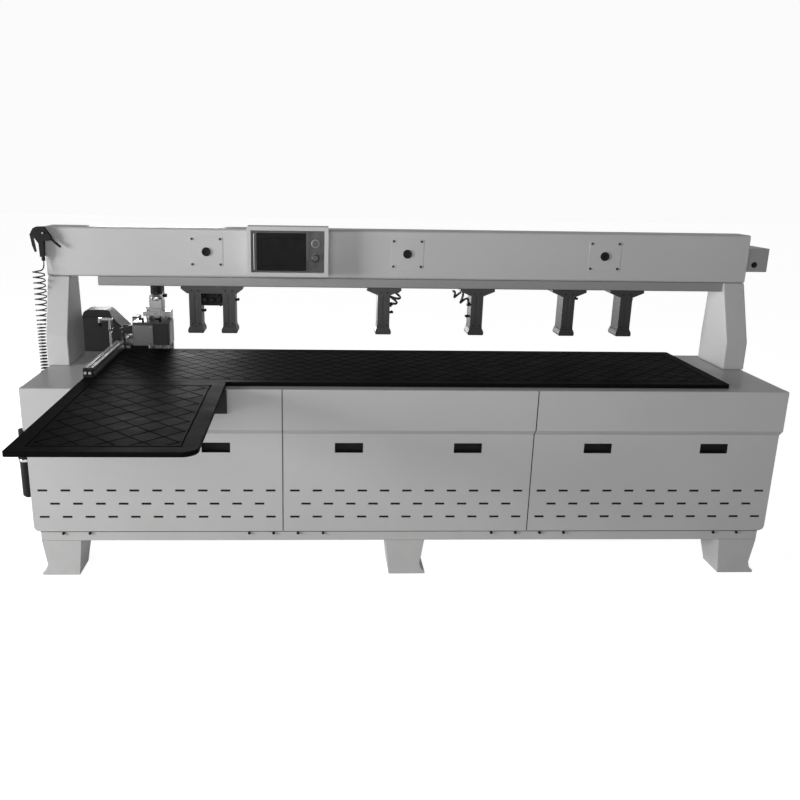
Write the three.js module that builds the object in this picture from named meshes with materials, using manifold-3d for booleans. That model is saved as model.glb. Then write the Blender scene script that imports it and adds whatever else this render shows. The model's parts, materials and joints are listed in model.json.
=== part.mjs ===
// Side hole drilling machine: a long cabinet with a beam over the table, six press feet under the beam,
// and a drilling head that runs behind the table. Millimetres, +Z up, X along the machine, the front at -Y.

import * as THREE from 'three';
import { mergeVertices } from 'three/addons/utils/BufferGeometryUtils.js';
import Module from 'manifold-3d';

const wasm = await Module();
wasm.setup();

// Driving sizes of the whole machine
const machineLength = 3400; // over the outer faces of the columns
const deckHeight = 900; // floor to the top face of the cabinet
const cabinetDepth = 750; // face of the front covers to the rear edge of the deck
const railUnderside = 173; // floor to the base rails
const seat = 0.3; // gap between two pieces that touch
const overrun = 5; // how far a cut runs past the face it opens

const sheet = 2; // steel sheet of the covers

// Base frame
const rail = { height: 100, depth: 60, wall: 5, endInset: 36 };
const leg = {
  topWidth: 180,
  footWidth: 144,
  flare: 26,
  flareHeight: 55,
  flareNeck: 28,
  flareStep: 8,
  footPlate: 12,
  wall: 8,
  topDepth: 190,
  footDepth: 150,
  gussetDrop: 63,
  crossWidth: 60,
  crossSink: 4,
};
const post = { width: 60, depth: 60 };

// Sheet covers of the cabinet
const cover = {
  endInset: 8,
  seam: 3,
  flangeDepth: 36,
  bandHeight: 185,
  stepDepth: 25,
  stepHeight: 25,
  bottomHeight: 220,
  bendRadius: 6,
  endReturn: 28,
  returnStart: 290,
  cornerRadius: 25,
};
const handSlot = { width: 126, height: 46, centreHeight: 625, spacing: 536 };
const vent = { width: 43, height: 10, pitch: 102, rowPitch: 64, topRow: 420, topRowCount: 11 };
const sideCover = { fold: 10 };
const door = { left: 120, width: 640, bottom: 300, height: 288, play: 2, fold: 12 };
const doorHandle = { width: 22, height: 90, reach: 16, inset: 40 };
const hinge = {
  radius: 6,
  setback: 8,
  pin: 3,
  pinSides: 6,
  leaf: 26,
  leafThickness: 2,
  knuckle: 24,
  play: 0.5,
  inset: 60,
};
const panel = {
  inset: 50,
  setback: 110,
  footDepth: 92,
  height: 285,
  driveWidth: 62,
  driveHeight: 165,
  driveDepth: 74,
  driveGap: 14,
  breakerDepth: 58,
  breakerHeight: 82,
  stripHeight: 34,
  stripDepth: 42,
  margin: 20,
};
const deck = { thickness: 4, endInset: 10 };

// Table boards
const board = { endInset: 148, thickness: 18, frontSetback: 55, rearSetback: 3, cornerRadius: 12 };
const boardGroove = { inset: 50, width: 6, depth: 3 };
const extension = { width: 635, reach: 876, frontRadius: 55, borderInset: 55, grooveWidth: 8 };
const arm = {
  width: 40,
  height: 40,
  inset: 62,
  frontInset: 120,
  gussetRun: 150,
  gussetDrop: 65,
  gussetWidth: 8,
};
const armPlate = { thickness: 8, height: 109, width: 126, overhang: 8, tie: 250 };
const fence = {
  width: 40,
  height: 40,
  frontInset: 84,
  slotWidth: 8,
  slotDepth: 10,
  lipDepth: 3,
  chamberWidth: 16,
  cap: 4,
};

// Bridge over the table
const column = {
  width: 105,
  rearInset: 50,
  baseDepth: 275,
  kneeHeight: 136,
  leanRun: 110,
  kneeRadius: 60,
};
const beam = { bottom: 1314, height: 232, depth: 148, wall: 6, cornerRadius: 12 };
const beamHole = { radius: 22, height: 123, spacing: 965, centre: 22 };
const pressRail = { height: 44, depth: 96, setback: 5, leftInset: 129, bevel: 4 };

// Press cylinders, from left to right: the first two share one hanger
const press = {
  bodyWidth: 60,
  bodyDepth: 100,
  bodyBottom: 1074,
  hangerHeight: 34,
  hangerTopWidth: 170,
  hangerFootWidth: 62,
  pairMargin: 38,
  grooveWidth: 10,
  grooveDepth: 3,
  pistonRadius: 8,
  guideRadius: 6,
  guideSpacing: 64,
  rodLength: 140,
  boreRun: 146,
};
const foot = { topWidth: 64, bottomWidth: 78, height: 24, pad: 8, lip: 8, overhang: 3 };
const pressShares = [-0.5906, -0.4947, -0.05, 0.2211, 0.4894, 0.6588]; // of the machine's half length

// Control box on the beam
const box = {
  left: -742,
  width: 382,
  bottom: 1333,
  height: 232,
  depth: 90,
  wall: 3,
  frame: 19,
  recess: 20,
  cornerRadius: 4,
};
const screen = { left: 25, right: 87, bottom: 8, top: 12, thickness: 12, bezel: 24, sink: 2 };
const button = {
  columnInset: 43,
  radius: 14,
  reach: 10,
  stem: 7,
  stemLength: 16,
  heightAboveFloor: 135,
  rim: 5,
};
const stopButton = { radius: 20, reach: 12, stem: 8, neck: 8, crown: 6, heightAboveFloor: 69 };

// Cable trunk behind the beam
const trunk = {
  leftInset: 35,
  rightReach: 185,
  bottom: 1353,
  height: 118,
  depth: 186,
  wall: 3,
  slot: 26,
  slotHeight: 47,
};

// Long axis behind the cabinet
const girder = { endInset: 20, standoff: 70, depth: 140, bottom: 620, height: 160, wall: 8 };
const bracket = { width: 160, flange: 12, web: 12, webSpacing: 100, drop: 60 };
const guide = { width: 23, height: 20, edge: 25 };
const rack = { module: 6, height: 20, base: 14, drop: 26, margin: 60 };
const pinion = { teeth: 16, boss: 20, shaft: 12, shaftTop: 26 };

// Moving carriage
const carriage = {
  parkInset: 60,
  width: 475,
  travel: 2750,
  plate: 20,
  block: 60,
  blockWidth: 48,
  blockDrop: 28,
  lift: 15,
  rearMargin: 11,
};
const motor = {
  frame: 90,
  reducer: 68,
  body: 80,
  bodyHeight: 130,
  place: 100,
  shaftPocket: 15,
  pocketDepth: 12,
};
const hood = {
  rightInset: 271,
  leftOverhang: 22,
  rise: 245,
  shoulderRun: 20,
  shoulderDrop: 8,
  slopeRun: 96,
  slopeDrop: 96,
  browRun: 60,
  browDrop: 30,
  frontInset: 55,
};

// Height axis on the carriage
const lift = {
  centreFromRight: 90,
  shaftRadius: 8,
  shaftSpacing: 90,
  plateWidth: 140,
  plateThickness: 20,
  plateGap: 45,
  footHeight: 35,
  headHeight: 25,
  headFromPlate: 233,
  blockFront: 28,
  screwRadius: 7,
  screwTop: 17,
  screwSink: 10,
  running: 0.3,
};
const liftMotor = {
  flange: 70,
  flangeHeight: 62,
  domeRadius: 40,
  domeHeight: 27,
  capRadius: 31,
  capHeight: 63,
  capEdge: 6,
  plug: 18,
  plugReach: 14,
  ear: 24,
  earHeight: 18,
};
const cableArm = { width: 60, thickness: 6, tongueEnd: 60 };

// Housing that carries the drilling unit
const housing = { width: 190, standoff: 35, depth: 140, bottom: 925, height: 120, chamfer: 18, crown: 14 };
const drill = {
  fromHousing: 32,
  axisHeight: 40,
  bodyRadius: 25,
  bodySetback: 53,
  bodyLength: 172,
  capRadius: 20,
  capLength: 12,
  noseRadius: 14,
  noseLength: 20,
};
const nozzle = {
  width: 72,
  depth: 50,
  openingWidth: 58,
  openingHeight: 70,
  openingBottom: 6,
  shoulder: 32,
};
const feed = {
  plate: 8,
  plateBottom: 12,
  plateTop: 85,
  reach: 171,
  shoeReach: 65,
  shoeHeight: 40,
  armReach: 60,
  armThickness: 15,
  armWidth: 20,
  rodRadius: 5,
  rodRise: 55,
  actuator: 32,
  actuatorReach: 87,
  boreEnd: 6,
  rodEnd: 8,
  webReach: 115,
};
const chuck = { radius: 13, length: 18, bitRadius: 4, bitLength: 28, tip: 4, sides: 12 };

// Side stop pin and compressed air
const pin = {
  fromBoard: 19,
  rearInset: 20,
  radius: 8,
  top: 110,
  bottom: 150,
  collar: 15,
  collarHeight: 12,
  tip: 3,
};
const airUnit = { frontInset: 120, stand: 16, width: 50, bodyBottom: 548, bodyHeight: 72 };
const knob = { radius: 22, neck: 14, neckHeight: 8, height: 58, edge: 6 };
const bowl = { ring: 30, ringHeight: 22, radius: 27, height: 172, tipRadius: 16, round: 10 };
const gauge = { radius: 20, depth: 14, height: 34 };
const hose = { radius: 30, tubeRadius: 3.25, fromBeam: 20 };
const airPipe = {
  radius: 6,
  height: 40,
  riser: 102,
  elbow: 18,
  clipInset: 40,
  clipWidth: 20,
  clipHeight: 12,
};
const gun = {
  height: 140,
  thickness: 26,
  eye: 4.4,
  peg: 4,
  pegReach: 40,
  pegRise: 204,
  nozzleRadius: 5.5,
  nut: 9,
  nutHeight: 18,
  nutDrop: 130,
  triggerThickness: 14,
};

// Faces that several pieces share
const halfLength = machineLength / 2;
const coverHalf = halfLength - cover.endInset;
const railFront = cover.stepDepth + sheet + seat;
const railRear = cabinetDepth - sheet - seat;
const railBottom = railUnderside + seat;
const railTop = railBottom + rail.height;
const deckBottom = deckHeight - deck.thickness;
const tableBottom = deckHeight + seat;
const tableTop = tableBottom + board.thickness;
const columnCentre = halfLength - column.width / 2;
const columnInner = halfLength - column.width;
const columnRear = cabinetDepth - column.rearInset;
const columnFront = columnRear - column.baseDepth;
const beamTop = beam.bottom + beam.height;
const beamFront = columnFront + column.leanRun;
const beamRear = beamFront + beam.depth;
const girderHalf = halfLength - girder.endInset;
const girderFront = cabinetDepth + girder.standoff;
const girderTop = girder.bottom + girder.height;
const girderRear = girderFront + girder.depth;
const guideTop = girderTop + guide.height;
const plateBottom = guideTop + carriage.lift;
const plateTop = plateBottom + carriage.plate;
const pitchRadius = (rack.module * pinion.teeth) / 2;
const rackRoot = girderRear + seat + rack.base;
const dedendumShare = 1.25;
const addendumShare = 0.9;
const pitchLine = rackRoot + rack.module * dedendumShare;
const pinionY = pitchLine + pitchRadius;
const carriageLeft = carriage.parkInset - halfLength;
const carriageRight = carriageLeft + carriage.width;
const hoodFront = girderRear - hood.frontInset;
const pinionX = carriageLeft + motor.place;
const carriageRear = pinionY + motor.frame / 2 + carriage.rearMargin;
const liftX = carriageRight - lift.centreFromRight;
const liftY = girderFront + girder.depth / 2;
const housingFront = cabinetDepth + housing.standoff;
const housingRear = housingFront + housing.depth;
const housingLeft = liftX - housing.width / 2 - housing.chamfer;
const housingRight = housingLeft + housing.width;
const drillX = housingLeft - drill.fromHousing;
const drillZ = housing.bottom + drill.axisHeight;
const drillStart = housingFront + drill.bodySetback;
const feedRear = housingRear + feed.reach;
const armStart = housingRear + feed.armReach;
const actuatorStart = housingRear + feed.actuatorReach;
const boardFront = board.frontSetback;
const boardLeft = board.endInset - columnInner;
const pinX = boardLeft - pin.fromBoard;
const pinY = cabinetDepth - pin.rearInset;
const panelFace = cabinetDepth - panel.setback;
const airY = airUnit.frontInset;
const gunX = -halfLength;
const gunZ = beam.bottom + gun.pegRise;
const hoseY = beamFront - hose.fromBeam;
const hoseTop = gunZ - gun.nutDrop - seat;
const hoseBottom = airUnit.bodyBottom + airPipe.height + airPipe.riser;
const coilRadius = hose.radius - hose.tubeRadius;

// Finishes
const finish = (color, roughness, metalness) =>
  new THREE.MeshStandardMaterial({ color, roughness, metalness });
const paint = finish(0xb9b9b7, 0.42, 0.1);
const phenolic = finish(0x1d1d1e, 0.5, 0);
const blackSteel = finish(0x202022, 0.5, 0.4);
const anodised = finish(0x3a3b3d, 0.4, 0.6);
const aluminium = finish(0xc6c8ca, 0.3, 0.9);
const steel = finish(0xa9abad, 0.3, 0.9);
const plastic = finish(0x161617, 0.45, 0);
const glass = finish(0x26282b, 0.12, 0);
const rubber = finish(0x1b1b1c, 0.7, 0);
const chrome = finish(0xdcdddf, 0.12, 1);
const signal = finish(0x7a7a7a, 0.4, 0);

// Shapes and solids

const xAxis = new THREE.Vector3(1, 0, 0);
const yAxis = new THREE.Vector3(0, 1, 0);
const zAxis = new THREE.Vector3(0, 0, 1);
const turnToX = new THREE.Matrix4().makeBasis(yAxis, zAxis, xAxis);
const turnToY = new THREE.Matrix4().makeBasis(xAxis, zAxis, yAxis.clone().negate());
const quarterTurn = Math.PI / 2;
const weldShare = 1e-4;

function solidOf(geometry) {
  const bare = geometry.clone();
  bare.deleteAttribute('normal');
  bare.deleteAttribute('uv');
  const merged = mergeVertices(bare, weldShare);
  const place = merged.attributes.position.array;
  const corners = [];
  let volume = 0;
  const at = (n) => new THREE.Vector3(place[3 * n], place[3 * n + 1], place[3 * n + 2]);
  for (let k = 0; k < merged.index.count; k += 3) {
    const [a, b, c] = [0, 1, 2].map((step) => merged.index.getX(k + step));
    if (a === b || b === c || c === a) continue;
    corners.push([a, b, c]);
    volume += at(a).dot(at(b).cross(at(c)));
  }
  const ordered = volume < 0 ? corners.map(([a, b, c]) => [a, c, b]) : corners;
  const triVerts = Uint32Array.from(ordered.flat());
  return new wasm.Manifold(new wasm.Mesh({ numProp: 3, vertProperties: Float32Array.from(place), triVerts }));
}

function outlineOf(points) {
  if (points instanceof THREE.Shape) return points;
  return new THREE.Shape(points.map(([a, b]) => new THREE.Vector2(a, b)));
}

function extrude(outline, depth, arcSteps = 3) {
  const settings = { depth, bevelEnabled: false, curveSegments: arcSteps };
  return new THREE.ExtrudeGeometry(outlineOf(outline), settings);
}

const extrudeX = (outline, from, to, arcSteps) =>
  solidOf(extrude(outline, to - from, arcSteps).applyMatrix4(turnToX).translate(from, 0, 0));

const extrudeY = (outline, from, to, arcSteps) =>
  solidOf(extrude(outline, to - from, arcSteps).applyMatrix4(turnToY).translate(0, to, 0));

const extrudeZ = (outline, from, to, arcSteps) =>
  solidOf(extrude(outline, to - from, arcSteps).translate(0, 0, from));

function block([x0, x1], [y0, y1], [z0, z1]) {
  const geometry = new THREE.BoxGeometry(x1 - x0, y1 - y0, z1 - z0);
  return solidOf(geometry.translate((x0 + x1) / 2, (y0 + y1) / 2, (z0 + z1) / 2));
}

function roundedRectangle(left, right, low, high, radius) {
  const shape = new THREE.Shape();
  shape.moveTo(left + radius, low);
  shape.lineTo(right - radius, low);
  shape.absarc(right - radius, low + radius, radius, -quarterTurn, 0);
  shape.lineTo(right, high - radius);
  shape.absarc(right - radius, high - radius, radius, 0, quarterTurn);
  shape.lineTo(left + radius, high);
  shape.absarc(left + radius, high - radius, radius, quarterTurn, 2 * quarterTurn);
  shape.lineTo(left, low + radius);
  shape.absarc(left + radius, low + radius, radius, 2 * quarterTurn, 3 * quarterTurn);
  return shape;
}

function rodZ(x, y, radius, from, to, sides = 16) {
  const geometry = new THREE.CylinderGeometry(radius, radius, to - from, sides);
  return solidOf(geometry.rotateX(quarterTurn).translate(x, y, (from + to) / 2));
}

function rodY(x, z, radius, from, to, sides = 16) {
  const geometry = new THREE.CylinderGeometry(radius, radius, to - from, sides);
  return solidOf(geometry.translate(x, (from + to) / 2, z));
}

// A turned piece about a vertical line: the profile is pairs of radius and height.
function turned(profile, x, y, sides = 20) {
  const points = profile.map(([radius, height]) => new THREE.Vector2(radius, height));
  return solidOf(new THREE.LatheGeometry(points, sides).rotateX(quarterTurn).translate(x, y, 0));
}

const joined = (solids) => solids.reduce((whole, piece) => whole.add(piece));
const cutBy = (solid, cutters) => solid.subtract(joined(cutters));

// The outline of a bent sheet: a line of points given a thickness on its left side.
function sheetOutline(path, thickness) {
  const normals = path.slice(1).map(([a, b], k) => {
    const [c, d] = path[k];
    const run = Math.hypot(a - c, b - d);
    return [-(b - d) / run, (a - c) / run];
  });
  const inner = path.map(([a, b], k) => {
    const before = normals[Math.max(k - 1, 0)];
    const after = normals[Math.min(k, normals.length - 1)];
    const mitre = thickness / (1 + before[0] * after[0] + before[1] * after[1]);
    return [a + mitre * (before[0] + after[0]), b + mitre * (before[1] + after[1])];
  });
  return [...path, ...inner.reverse()];
}

function arc(centreA, centreB, radius, from, to, steps) {
  return Array.from({ length: steps + 1 }, (_, k) => {
    const angle = from + ((to - from) * k) / steps;
    return [centreA + radius * Math.cos(angle), centreB + radius * Math.sin(angle)];
  });
}

const machine = new THREE.Group();
const pieces = new THREE.Group();
machine.add(pieces);

function piece(name, solid, material) {
  const { vertProperties, triVerts, numProp } = solid.getMesh();
  const geometry = new THREE.BufferGeometry();
  const place = new Float32Array((vertProperties.length / numProp) * 3);
  for (let k = 0; k < place.length / 3; k += 1) {
    for (let axis = 0; axis < 3; axis += 1) place[3 * k + axis] = vertProperties[numProp * k + axis];
  }
  geometry.setAttribute('position', new THREE.BufferAttribute(place, 3));
  geometry.setIndex(new THREE.BufferAttribute(Uint32Array.from(triVerts), 1));
  geometry.computeVertexNormals();
  const mesh = new THREE.Mesh(geometry, material);
  mesh.name = name;
  pieces.add(mesh);
}

// Base: rails, leg frames and posts

function baseRail(from) {
  const half = halfLength - rail.endInset;
  const tube = block([-half, half], [from, from + rail.depth], [railBottom, railTop]);
  const bore = block(
    [-half - overrun, half + overrun],
    [from + rail.wall, from + rail.depth - rail.wall],
    [railBottom + rail.wall, railTop - rail.wall],
  );
  return tube.subtract(bore);
}

// One folded leg: front view and side view are cut from the same plate, open at the back.
function foldedLeg(centre, flareSide, face, inward) {
  const top = leg.topWidth / 2;
  const low = leg.footWidth / 2;
  const frontView = (inset, base) => [
    [centre - flareSide * (top - inset), railUnderside - inset],
    [centre - flareSide * (low - inset), base],
    [centre + flareSide * (low + leg.flare - inset), base],
    [centre + flareSide * (low + leg.flare - inset), Math.max(base, leg.footPlate)],
    [centre + flareSide * (low + leg.flareStep - inset), Math.max(base, leg.flareNeck)],
    [centre + flareSide * (low - inset), leg.flareHeight],
    [centre + flareSide * (top - inset), railUnderside - inset],
  ];
  const y = (depth) => face + inward * depth;
  const sideView = [
    [y(0), 0],
    [y(0), railUnderside],
    [y(leg.topDepth), railUnderside],
    [y(leg.topDepth), railUnderside - leg.gussetDrop],
    [y(leg.footDepth), leg.footPlate],
    [y(leg.footDepth), 0],
  ];
  const width = leg.topWidth + leg.flare;
  const span = [y(0), y(leg.topDepth)].sort((a, b) => a - b);
  const profile = extrudeX(sideView, centre - width, centre + width);
  const body = extrudeY(frontView(0, 0), ...span).intersect(profile);
  const hollowSpan = [y(leg.wall), y(leg.topDepth + overrun)].sort((a, b) => a - b);
  const lowInner = low - leg.wall;
  const topInner = top - leg.wall;
  const hollow = [
    [centre - lowInner, leg.footPlate],
    [centre + lowInner, leg.footPlate],
    [centre + topInner, railUnderside - leg.wall],
    [centre - topInner, railUnderside - leg.wall],
  ];
  return body.subtract(extrudeY(hollow, ...hollowSpan));
}

function legFrame(centre, flareSide) {
  const cross = block(
    [centre - leg.crossWidth / 2, centre + leg.crossWidth / 2],
    [railFront + rail.depth + seat, railRear - rail.depth - seat],
    [railUnderside - leg.crossSink, railUnderside - leg.crossSink + rail.height],
  );
  const front = foldedLeg(centre, flareSide, railFront, 1);
  const rear = foldedLeg(centre, flareSide, railRear, -1);
  return joined([cross, front, rear]);
}

// Two posts and the tube under the deck that joins them
function uprightFrame(centre) {
  const x = [centre - post.width / 2, centre + post.width / 2];
  const top = deckBottom - seat;
  const front = block(x, [railFront, railFront + post.depth], [railTop + seat, top]);
  const rear = block(x, [railRear - post.depth, railRear], [railTop + seat, top]);
  const cross = block(x, [railFront, railRear], [top - post.width, top]);
  return joined([front, rear, cross]);
}

// Cabinet covers

const coverWidth = (2 * coverHalf - 2 * cover.seam) / 3;
const stepTop = deckHeight - cover.bandHeight;
const stepBottom = stepTop - cover.stepHeight;

function coverProfile() {
  const radius = cover.bendRadius;
  const bend = arc(radius, deckHeight - radius, radius, quarterTurn, 2 * quarterTurn, 3);
  return [
    [cover.flangeDepth, deckHeight],
    ...bend,
    [0, stepTop],
    [cover.stepDepth, stepBottom],
    [cover.stepDepth, cover.bottomHeight],
  ];
}

// The folded edge at a cover's end, as deep as the return all the way down
function coverReturn(x) {
  const path = coverProfile();
  const inner = path.map(([y, z]) => [y + cover.endReturn, z]).reverse();
  const profile = [...path.slice(1), ...inner.slice(0, -1)];
  const tab = extrudeX(profile, x, x + sheet);
  const height = [cover.returnStart, deckHeight - sheet / 2];
  return tab.intersect(block([x - overrun, x + sheet + overrun], [-overrun, cabinetDepth], height));
}

function roundedCorner(x, side) {
  const radius = cover.cornerRadius;
  const depth = [-overrun, cover.stepDepth + cover.endReturn + overrun];
  const edge = [x - side * radius, x + side * overrun].sort((a, b) => a - b);
  const corner = block(edge, depth, [cover.bottomHeight - overrun, cover.bottomHeight + radius]);
  const low = cover.bottomHeight + radius;
  return corner.subtract(rodY(x - side * radius, low, radius, depth[0] - overrun, depth[1] + overrun, 24));
}

function slotCutter(x, z, width, height) {
  const depth = [cover.stepDepth - overrun, cover.stepDepth + sheet + overrun];
  return block([x - width / 2, x + width / 2], depth, [z - height / 2, z + height / 2]);
}

function ventCutters(centre) {
  return [0, 1, 2].flatMap((row) => {
    const count = vent.topRowCount - (row % 2);
    const z = vent.topRow - row * vent.rowPitch;
    const first = centre - ((count - 1) * vent.pitch) / 2;
    const places = Array.from({ length: count }, (_, k) => first + k * vent.pitch);
    return places.map((x) => slotCutter(x, z, vent.width, vent.height));
  });
}

function frontCover(index) {
  const left = -coverHalf + index * (coverWidth + cover.seam);
  const right = left + coverWidth;
  const centre = (left + right) / 2;
  const panel = extrudeX(sheetOutline(coverProfile(), sheet), left, right);
  const pan = joined([panel, coverReturn(left), coverReturn(right - sheet)]);
  const slots = [-1, 1].map((side) => {
    const x = centre + (side * handSlot.spacing) / 2;
    return slotCutter(x, handSlot.centreHeight, handSlot.width, handSlot.height);
  });
  const corners = [];
  if (index === 0) corners.push(roundedCorner(left, -1));
  if (index === 2) corners.push(roundedCorner(right, 1));
  return cutBy(pan, [...slots, ...ventCutters(centre), ...corners]);
}

// A flat pan whose folded edges face inwards
function sidePanel(side) {
  const span = (near, far) => [side * near, side * far].sort((a, b) => a - b);
  const y = [cover.stepDepth + cover.endReturn + seat, cabinetDepth - sheet - seat];
  const z = [cover.bottomHeight, deckBottom - seat];
  const pan = block(span(coverHalf, coverHalf - sideCover.fold), y, z);
  const hollow = span(coverHalf - sheet, coverHalf - sideCover.fold - overrun);
  return pan.subtract(block(hollow, [y[0] + sheet, y[1] - sheet], [z[0] + sheet, z[1] - sheet]));
}

const rearTop = deckBottom - seat;

function rearPanel(left, right) {
  const y = [cabinetDepth - sheet, cabinetDepth];
  return block([left, right], y, [cover.bottomHeight, rearTop]);
}

function rearVents(centre) {
  const z = vent.topRow - vent.rowPitch;
  const first = centre - ((vent.topRowCount - 1) * vent.pitch) / 2;
  const span = [cabinetDepth - sheet - overrun, cabinetDepth + overrun];
  const rows = [z - vent.height / 2, z + vent.height / 2];
  return Array.from({ length: vent.topRowCount }, (_, k) => {
    const x = first + k * vent.pitch;
    return block([x - vent.width / 2, x + vent.width / 2], span, rows);
  });
}

function doorOpening() {
  return block(
    [door.left, door.left + door.width],
    [cabinetDepth - sheet - overrun, cabinetDepth + overrun],
    [door.bottom, door.bottom + door.height],
  );
}

const hingeX = door.left - hinge.setback;
const hingeY = cabinetDepth + hinge.radius;
const hingePlaces = [door.bottom + hinge.inset, door.bottom + door.height - hinge.inset];

// One knuckle of a hinge with its leaf, towards the door or away from it
function hingeKnuckle(side, low, high) {
  const barrel = rodZ(hingeX, hingeY, hinge.radius, low, high, 8);
  const reach = hingeX + side * hinge.leaf;
  const edge = side > 0 ? door.left + door.play : hingeX;
  const span = (from) => [Math.min(from, reach), Math.max(from, reach)];
  const top = cabinetDepth + seat + hinge.leafThickness;
  const leaf = block(span(hingeX), [cabinetDepth + seat, top], [low, high]);
  const weld = block(span(edge), [cabinetDepth - sheet / 2, top], [low, high]);
  return joined([barrel, leaf, weld]);
}

// The cover's two outer knuckles of each hinge, bored for the pin
function coverKnuckles(z) {
  const half = hinge.knuckle / 2 + hinge.play;
  const far = half + hinge.knuckle;
  const pair = [hingeKnuckle(-1, z - far, z - half), hingeKnuckle(-1, z + half, z + far)];
  const boreRadius = (hinge.pin + seat) / Math.cos(Math.PI / hinge.pinSides);
  const bore = rodZ(hingeX, hingeY, boreRadius, z - far - overrun, z + far + overrun, hinge.pinSides);
  return joined(pair).subtract(bore);
}

function doorKnuckle(z) {
  const half = hinge.knuckle / 2;
  const far = half + hinge.play + hinge.knuckle;
  const pivot = rodZ(hingeX, hingeY, hinge.pin, z - far, z + far, hinge.pinSides);
  return hingeKnuckle(1, z - half, z + half).add(pivot);
}

function electricalDoor() {
  const x = [door.left + door.play, door.left + door.width - door.play];
  const z = [door.bottom + door.play, door.bottom + door.height - door.play];
  const y = [cabinetDepth - door.fold, cabinetDepth];
  const pan = block(x, y, z);
  const inside = ([low, high]) => [low + sheet, high - sheet];
  const hollow = block(inside(x), [y[0] - overrun, y[1] - sheet], inside(z));
  const centre = (z[0] + z[1]) / 2;
  const handleX = x[1] - doorHandle.inset;
  const handle = extrudeZ(
    roundedRectangle(
      handleX - doorHandle.width,
      handleX,
      cabinetDepth - sheet / 2,
      cabinetDepth + doorHandle.reach,
      doorHandle.reach / 3,
    ),
    centre - doorHandle.height / 2,
    centre + doorHandle.height / 2,
    2,
  );
  return joined([pan.subtract(hollow), handle, ...hingePlaces.map(doorKnuckle)]);
}

// Drives, breakers and terminals on a bent plate that stands on the rear rail
function electricalPanel() {
  const x = [door.left + panel.inset, door.left + door.width - panel.inset];
  const low = railTop + seat;
  const high = low + panel.height;
  const plate = block(x, [panelFace, panelFace + sheet], [low, high]);
  const footPlate = block(x, [panelFace, panelFace + panel.footDepth], [low, low + sheet]);
  const face = panelFace + sheet / 2;
  const driveTop = high - panel.margin;
  const pitch = panel.driveWidth + panel.driveGap;
  const drives = [0, 1, 2].map((place) => {
    const left = x[0] + panel.margin + place * pitch;
    const body = block(
      [left, left + panel.driveWidth],
      [face, face + panel.driveDepth],
      [driveTop - panel.driveHeight, driveTop],
    );
    const vents = [1, 3].map((step) =>
      block(
        [left + (step * panel.driveWidth) / 5, left + ((step + 1) * panel.driveWidth) / 5],
        [face + panel.driveDepth - overrun, face + panel.driveDepth + overrun],
        [driveTop - panel.driveHeight / 3, driveTop + overrun],
      ),
    );
    return cutBy(body, vents);
  });
  const breakerLeft = x[0] + panel.margin + 3 * pitch;
  const right = x[1] - panel.margin;
  const breakers = [
    block(
      [breakerLeft, right],
      [face, face + panel.breakerDepth],
      [driveTop - panel.breakerHeight, driveTop],
    ),
    block(
      [breakerLeft, right],
      [face, face + panel.breakerDepth + panel.margin / 2],
      [driveTop - (panel.breakerHeight * 2) / 3, driveTop - panel.breakerHeight / 3],
    ),
  ];
  const strip = block(
    [x[0] + panel.margin, right],
    [face, face + panel.stripDepth],
    [low + panel.margin, low + panel.margin + panel.stripHeight],
  );
  return joined([plate, footPlate, strip, ...drives, ...breakers]);
}

function deckPlate() {
  const half = halfLength - deck.endInset;
  const plate = block([-half, half], [cover.flangeDepth + seat, cabinetDepth], [deckBottom, deckHeight]);
  const collarSpan = [deckHeight - deck.thickness / 2, deckHeight + pin.collarHeight];
  const collar = rodZ(pinX, pinY, pin.collar, ...collarSpan);
  const holeTop = deckHeight + pin.collarHeight + overrun;
  const hole = rodZ(pinX, pinY, pin.radius + seat, deckBottom - overrun, holeTop);
  return plate.add(collar).subtract(hole);
}

// Table boards

function grooveFrame(left, right, front, rear, width) {
  const depth = [tableTop - boardGroove.depth, tableTop + overrun];
  const outer = block([left, right], [front, rear], depth);
  const inner = block(
    [left + width, right - width],
    [front + width, rear - width],
    [depth[0] - overrun, depth[1] + overrun],
  );
  return outer.subtract(inner);
}

function tableBoard() {
  const right = -boardLeft;
  const rear = cabinetDepth - board.rearSetback;
  const outline = roundedRectangle(boardLeft, right, boardFront, rear, board.cornerRadius);
  const groove = grooveFrame(
    boardLeft + boardGroove.inset,
    right - boardGroove.inset,
    boardFront + boardGroove.inset,
    rear - boardGroove.inset,
    boardGroove.width,
  );
  return extrudeZ(outline, tableBottom, tableTop).subtract(groove);
}

const extensionRight = boardLeft + extension.width;
const extensionRear = boardFront - seat;

function extensionBoard() {
  const radius = extension.frontRadius;
  const front = -extension.reach;
  const outline = new THREE.Shape();
  outline.moveTo(boardLeft + board.cornerRadius, front);
  outline.lineTo(extensionRight - radius, front);
  outline.absarc(extensionRight - radius, front + radius, radius, -quarterTurn, 0);
  outline.lineTo(extensionRight, extensionRear);
  outline.lineTo(boardLeft, extensionRear);
  outline.lineTo(boardLeft, front + board.cornerRadius);
  const corner = board.cornerRadius;
  outline.absarc(boardLeft + corner, front + corner, corner, 2 * quarterTurn, 3 * quarterTurn);
  const inset = extension.borderInset;
  const edges = [boardLeft + inset, extensionRight - inset, front + inset, extensionRear - inset];
  return extrudeZ(outline, tableBottom, tableTop, 6).subtract(grooveFrame(...edges, extension.grooveWidth));
}

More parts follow.
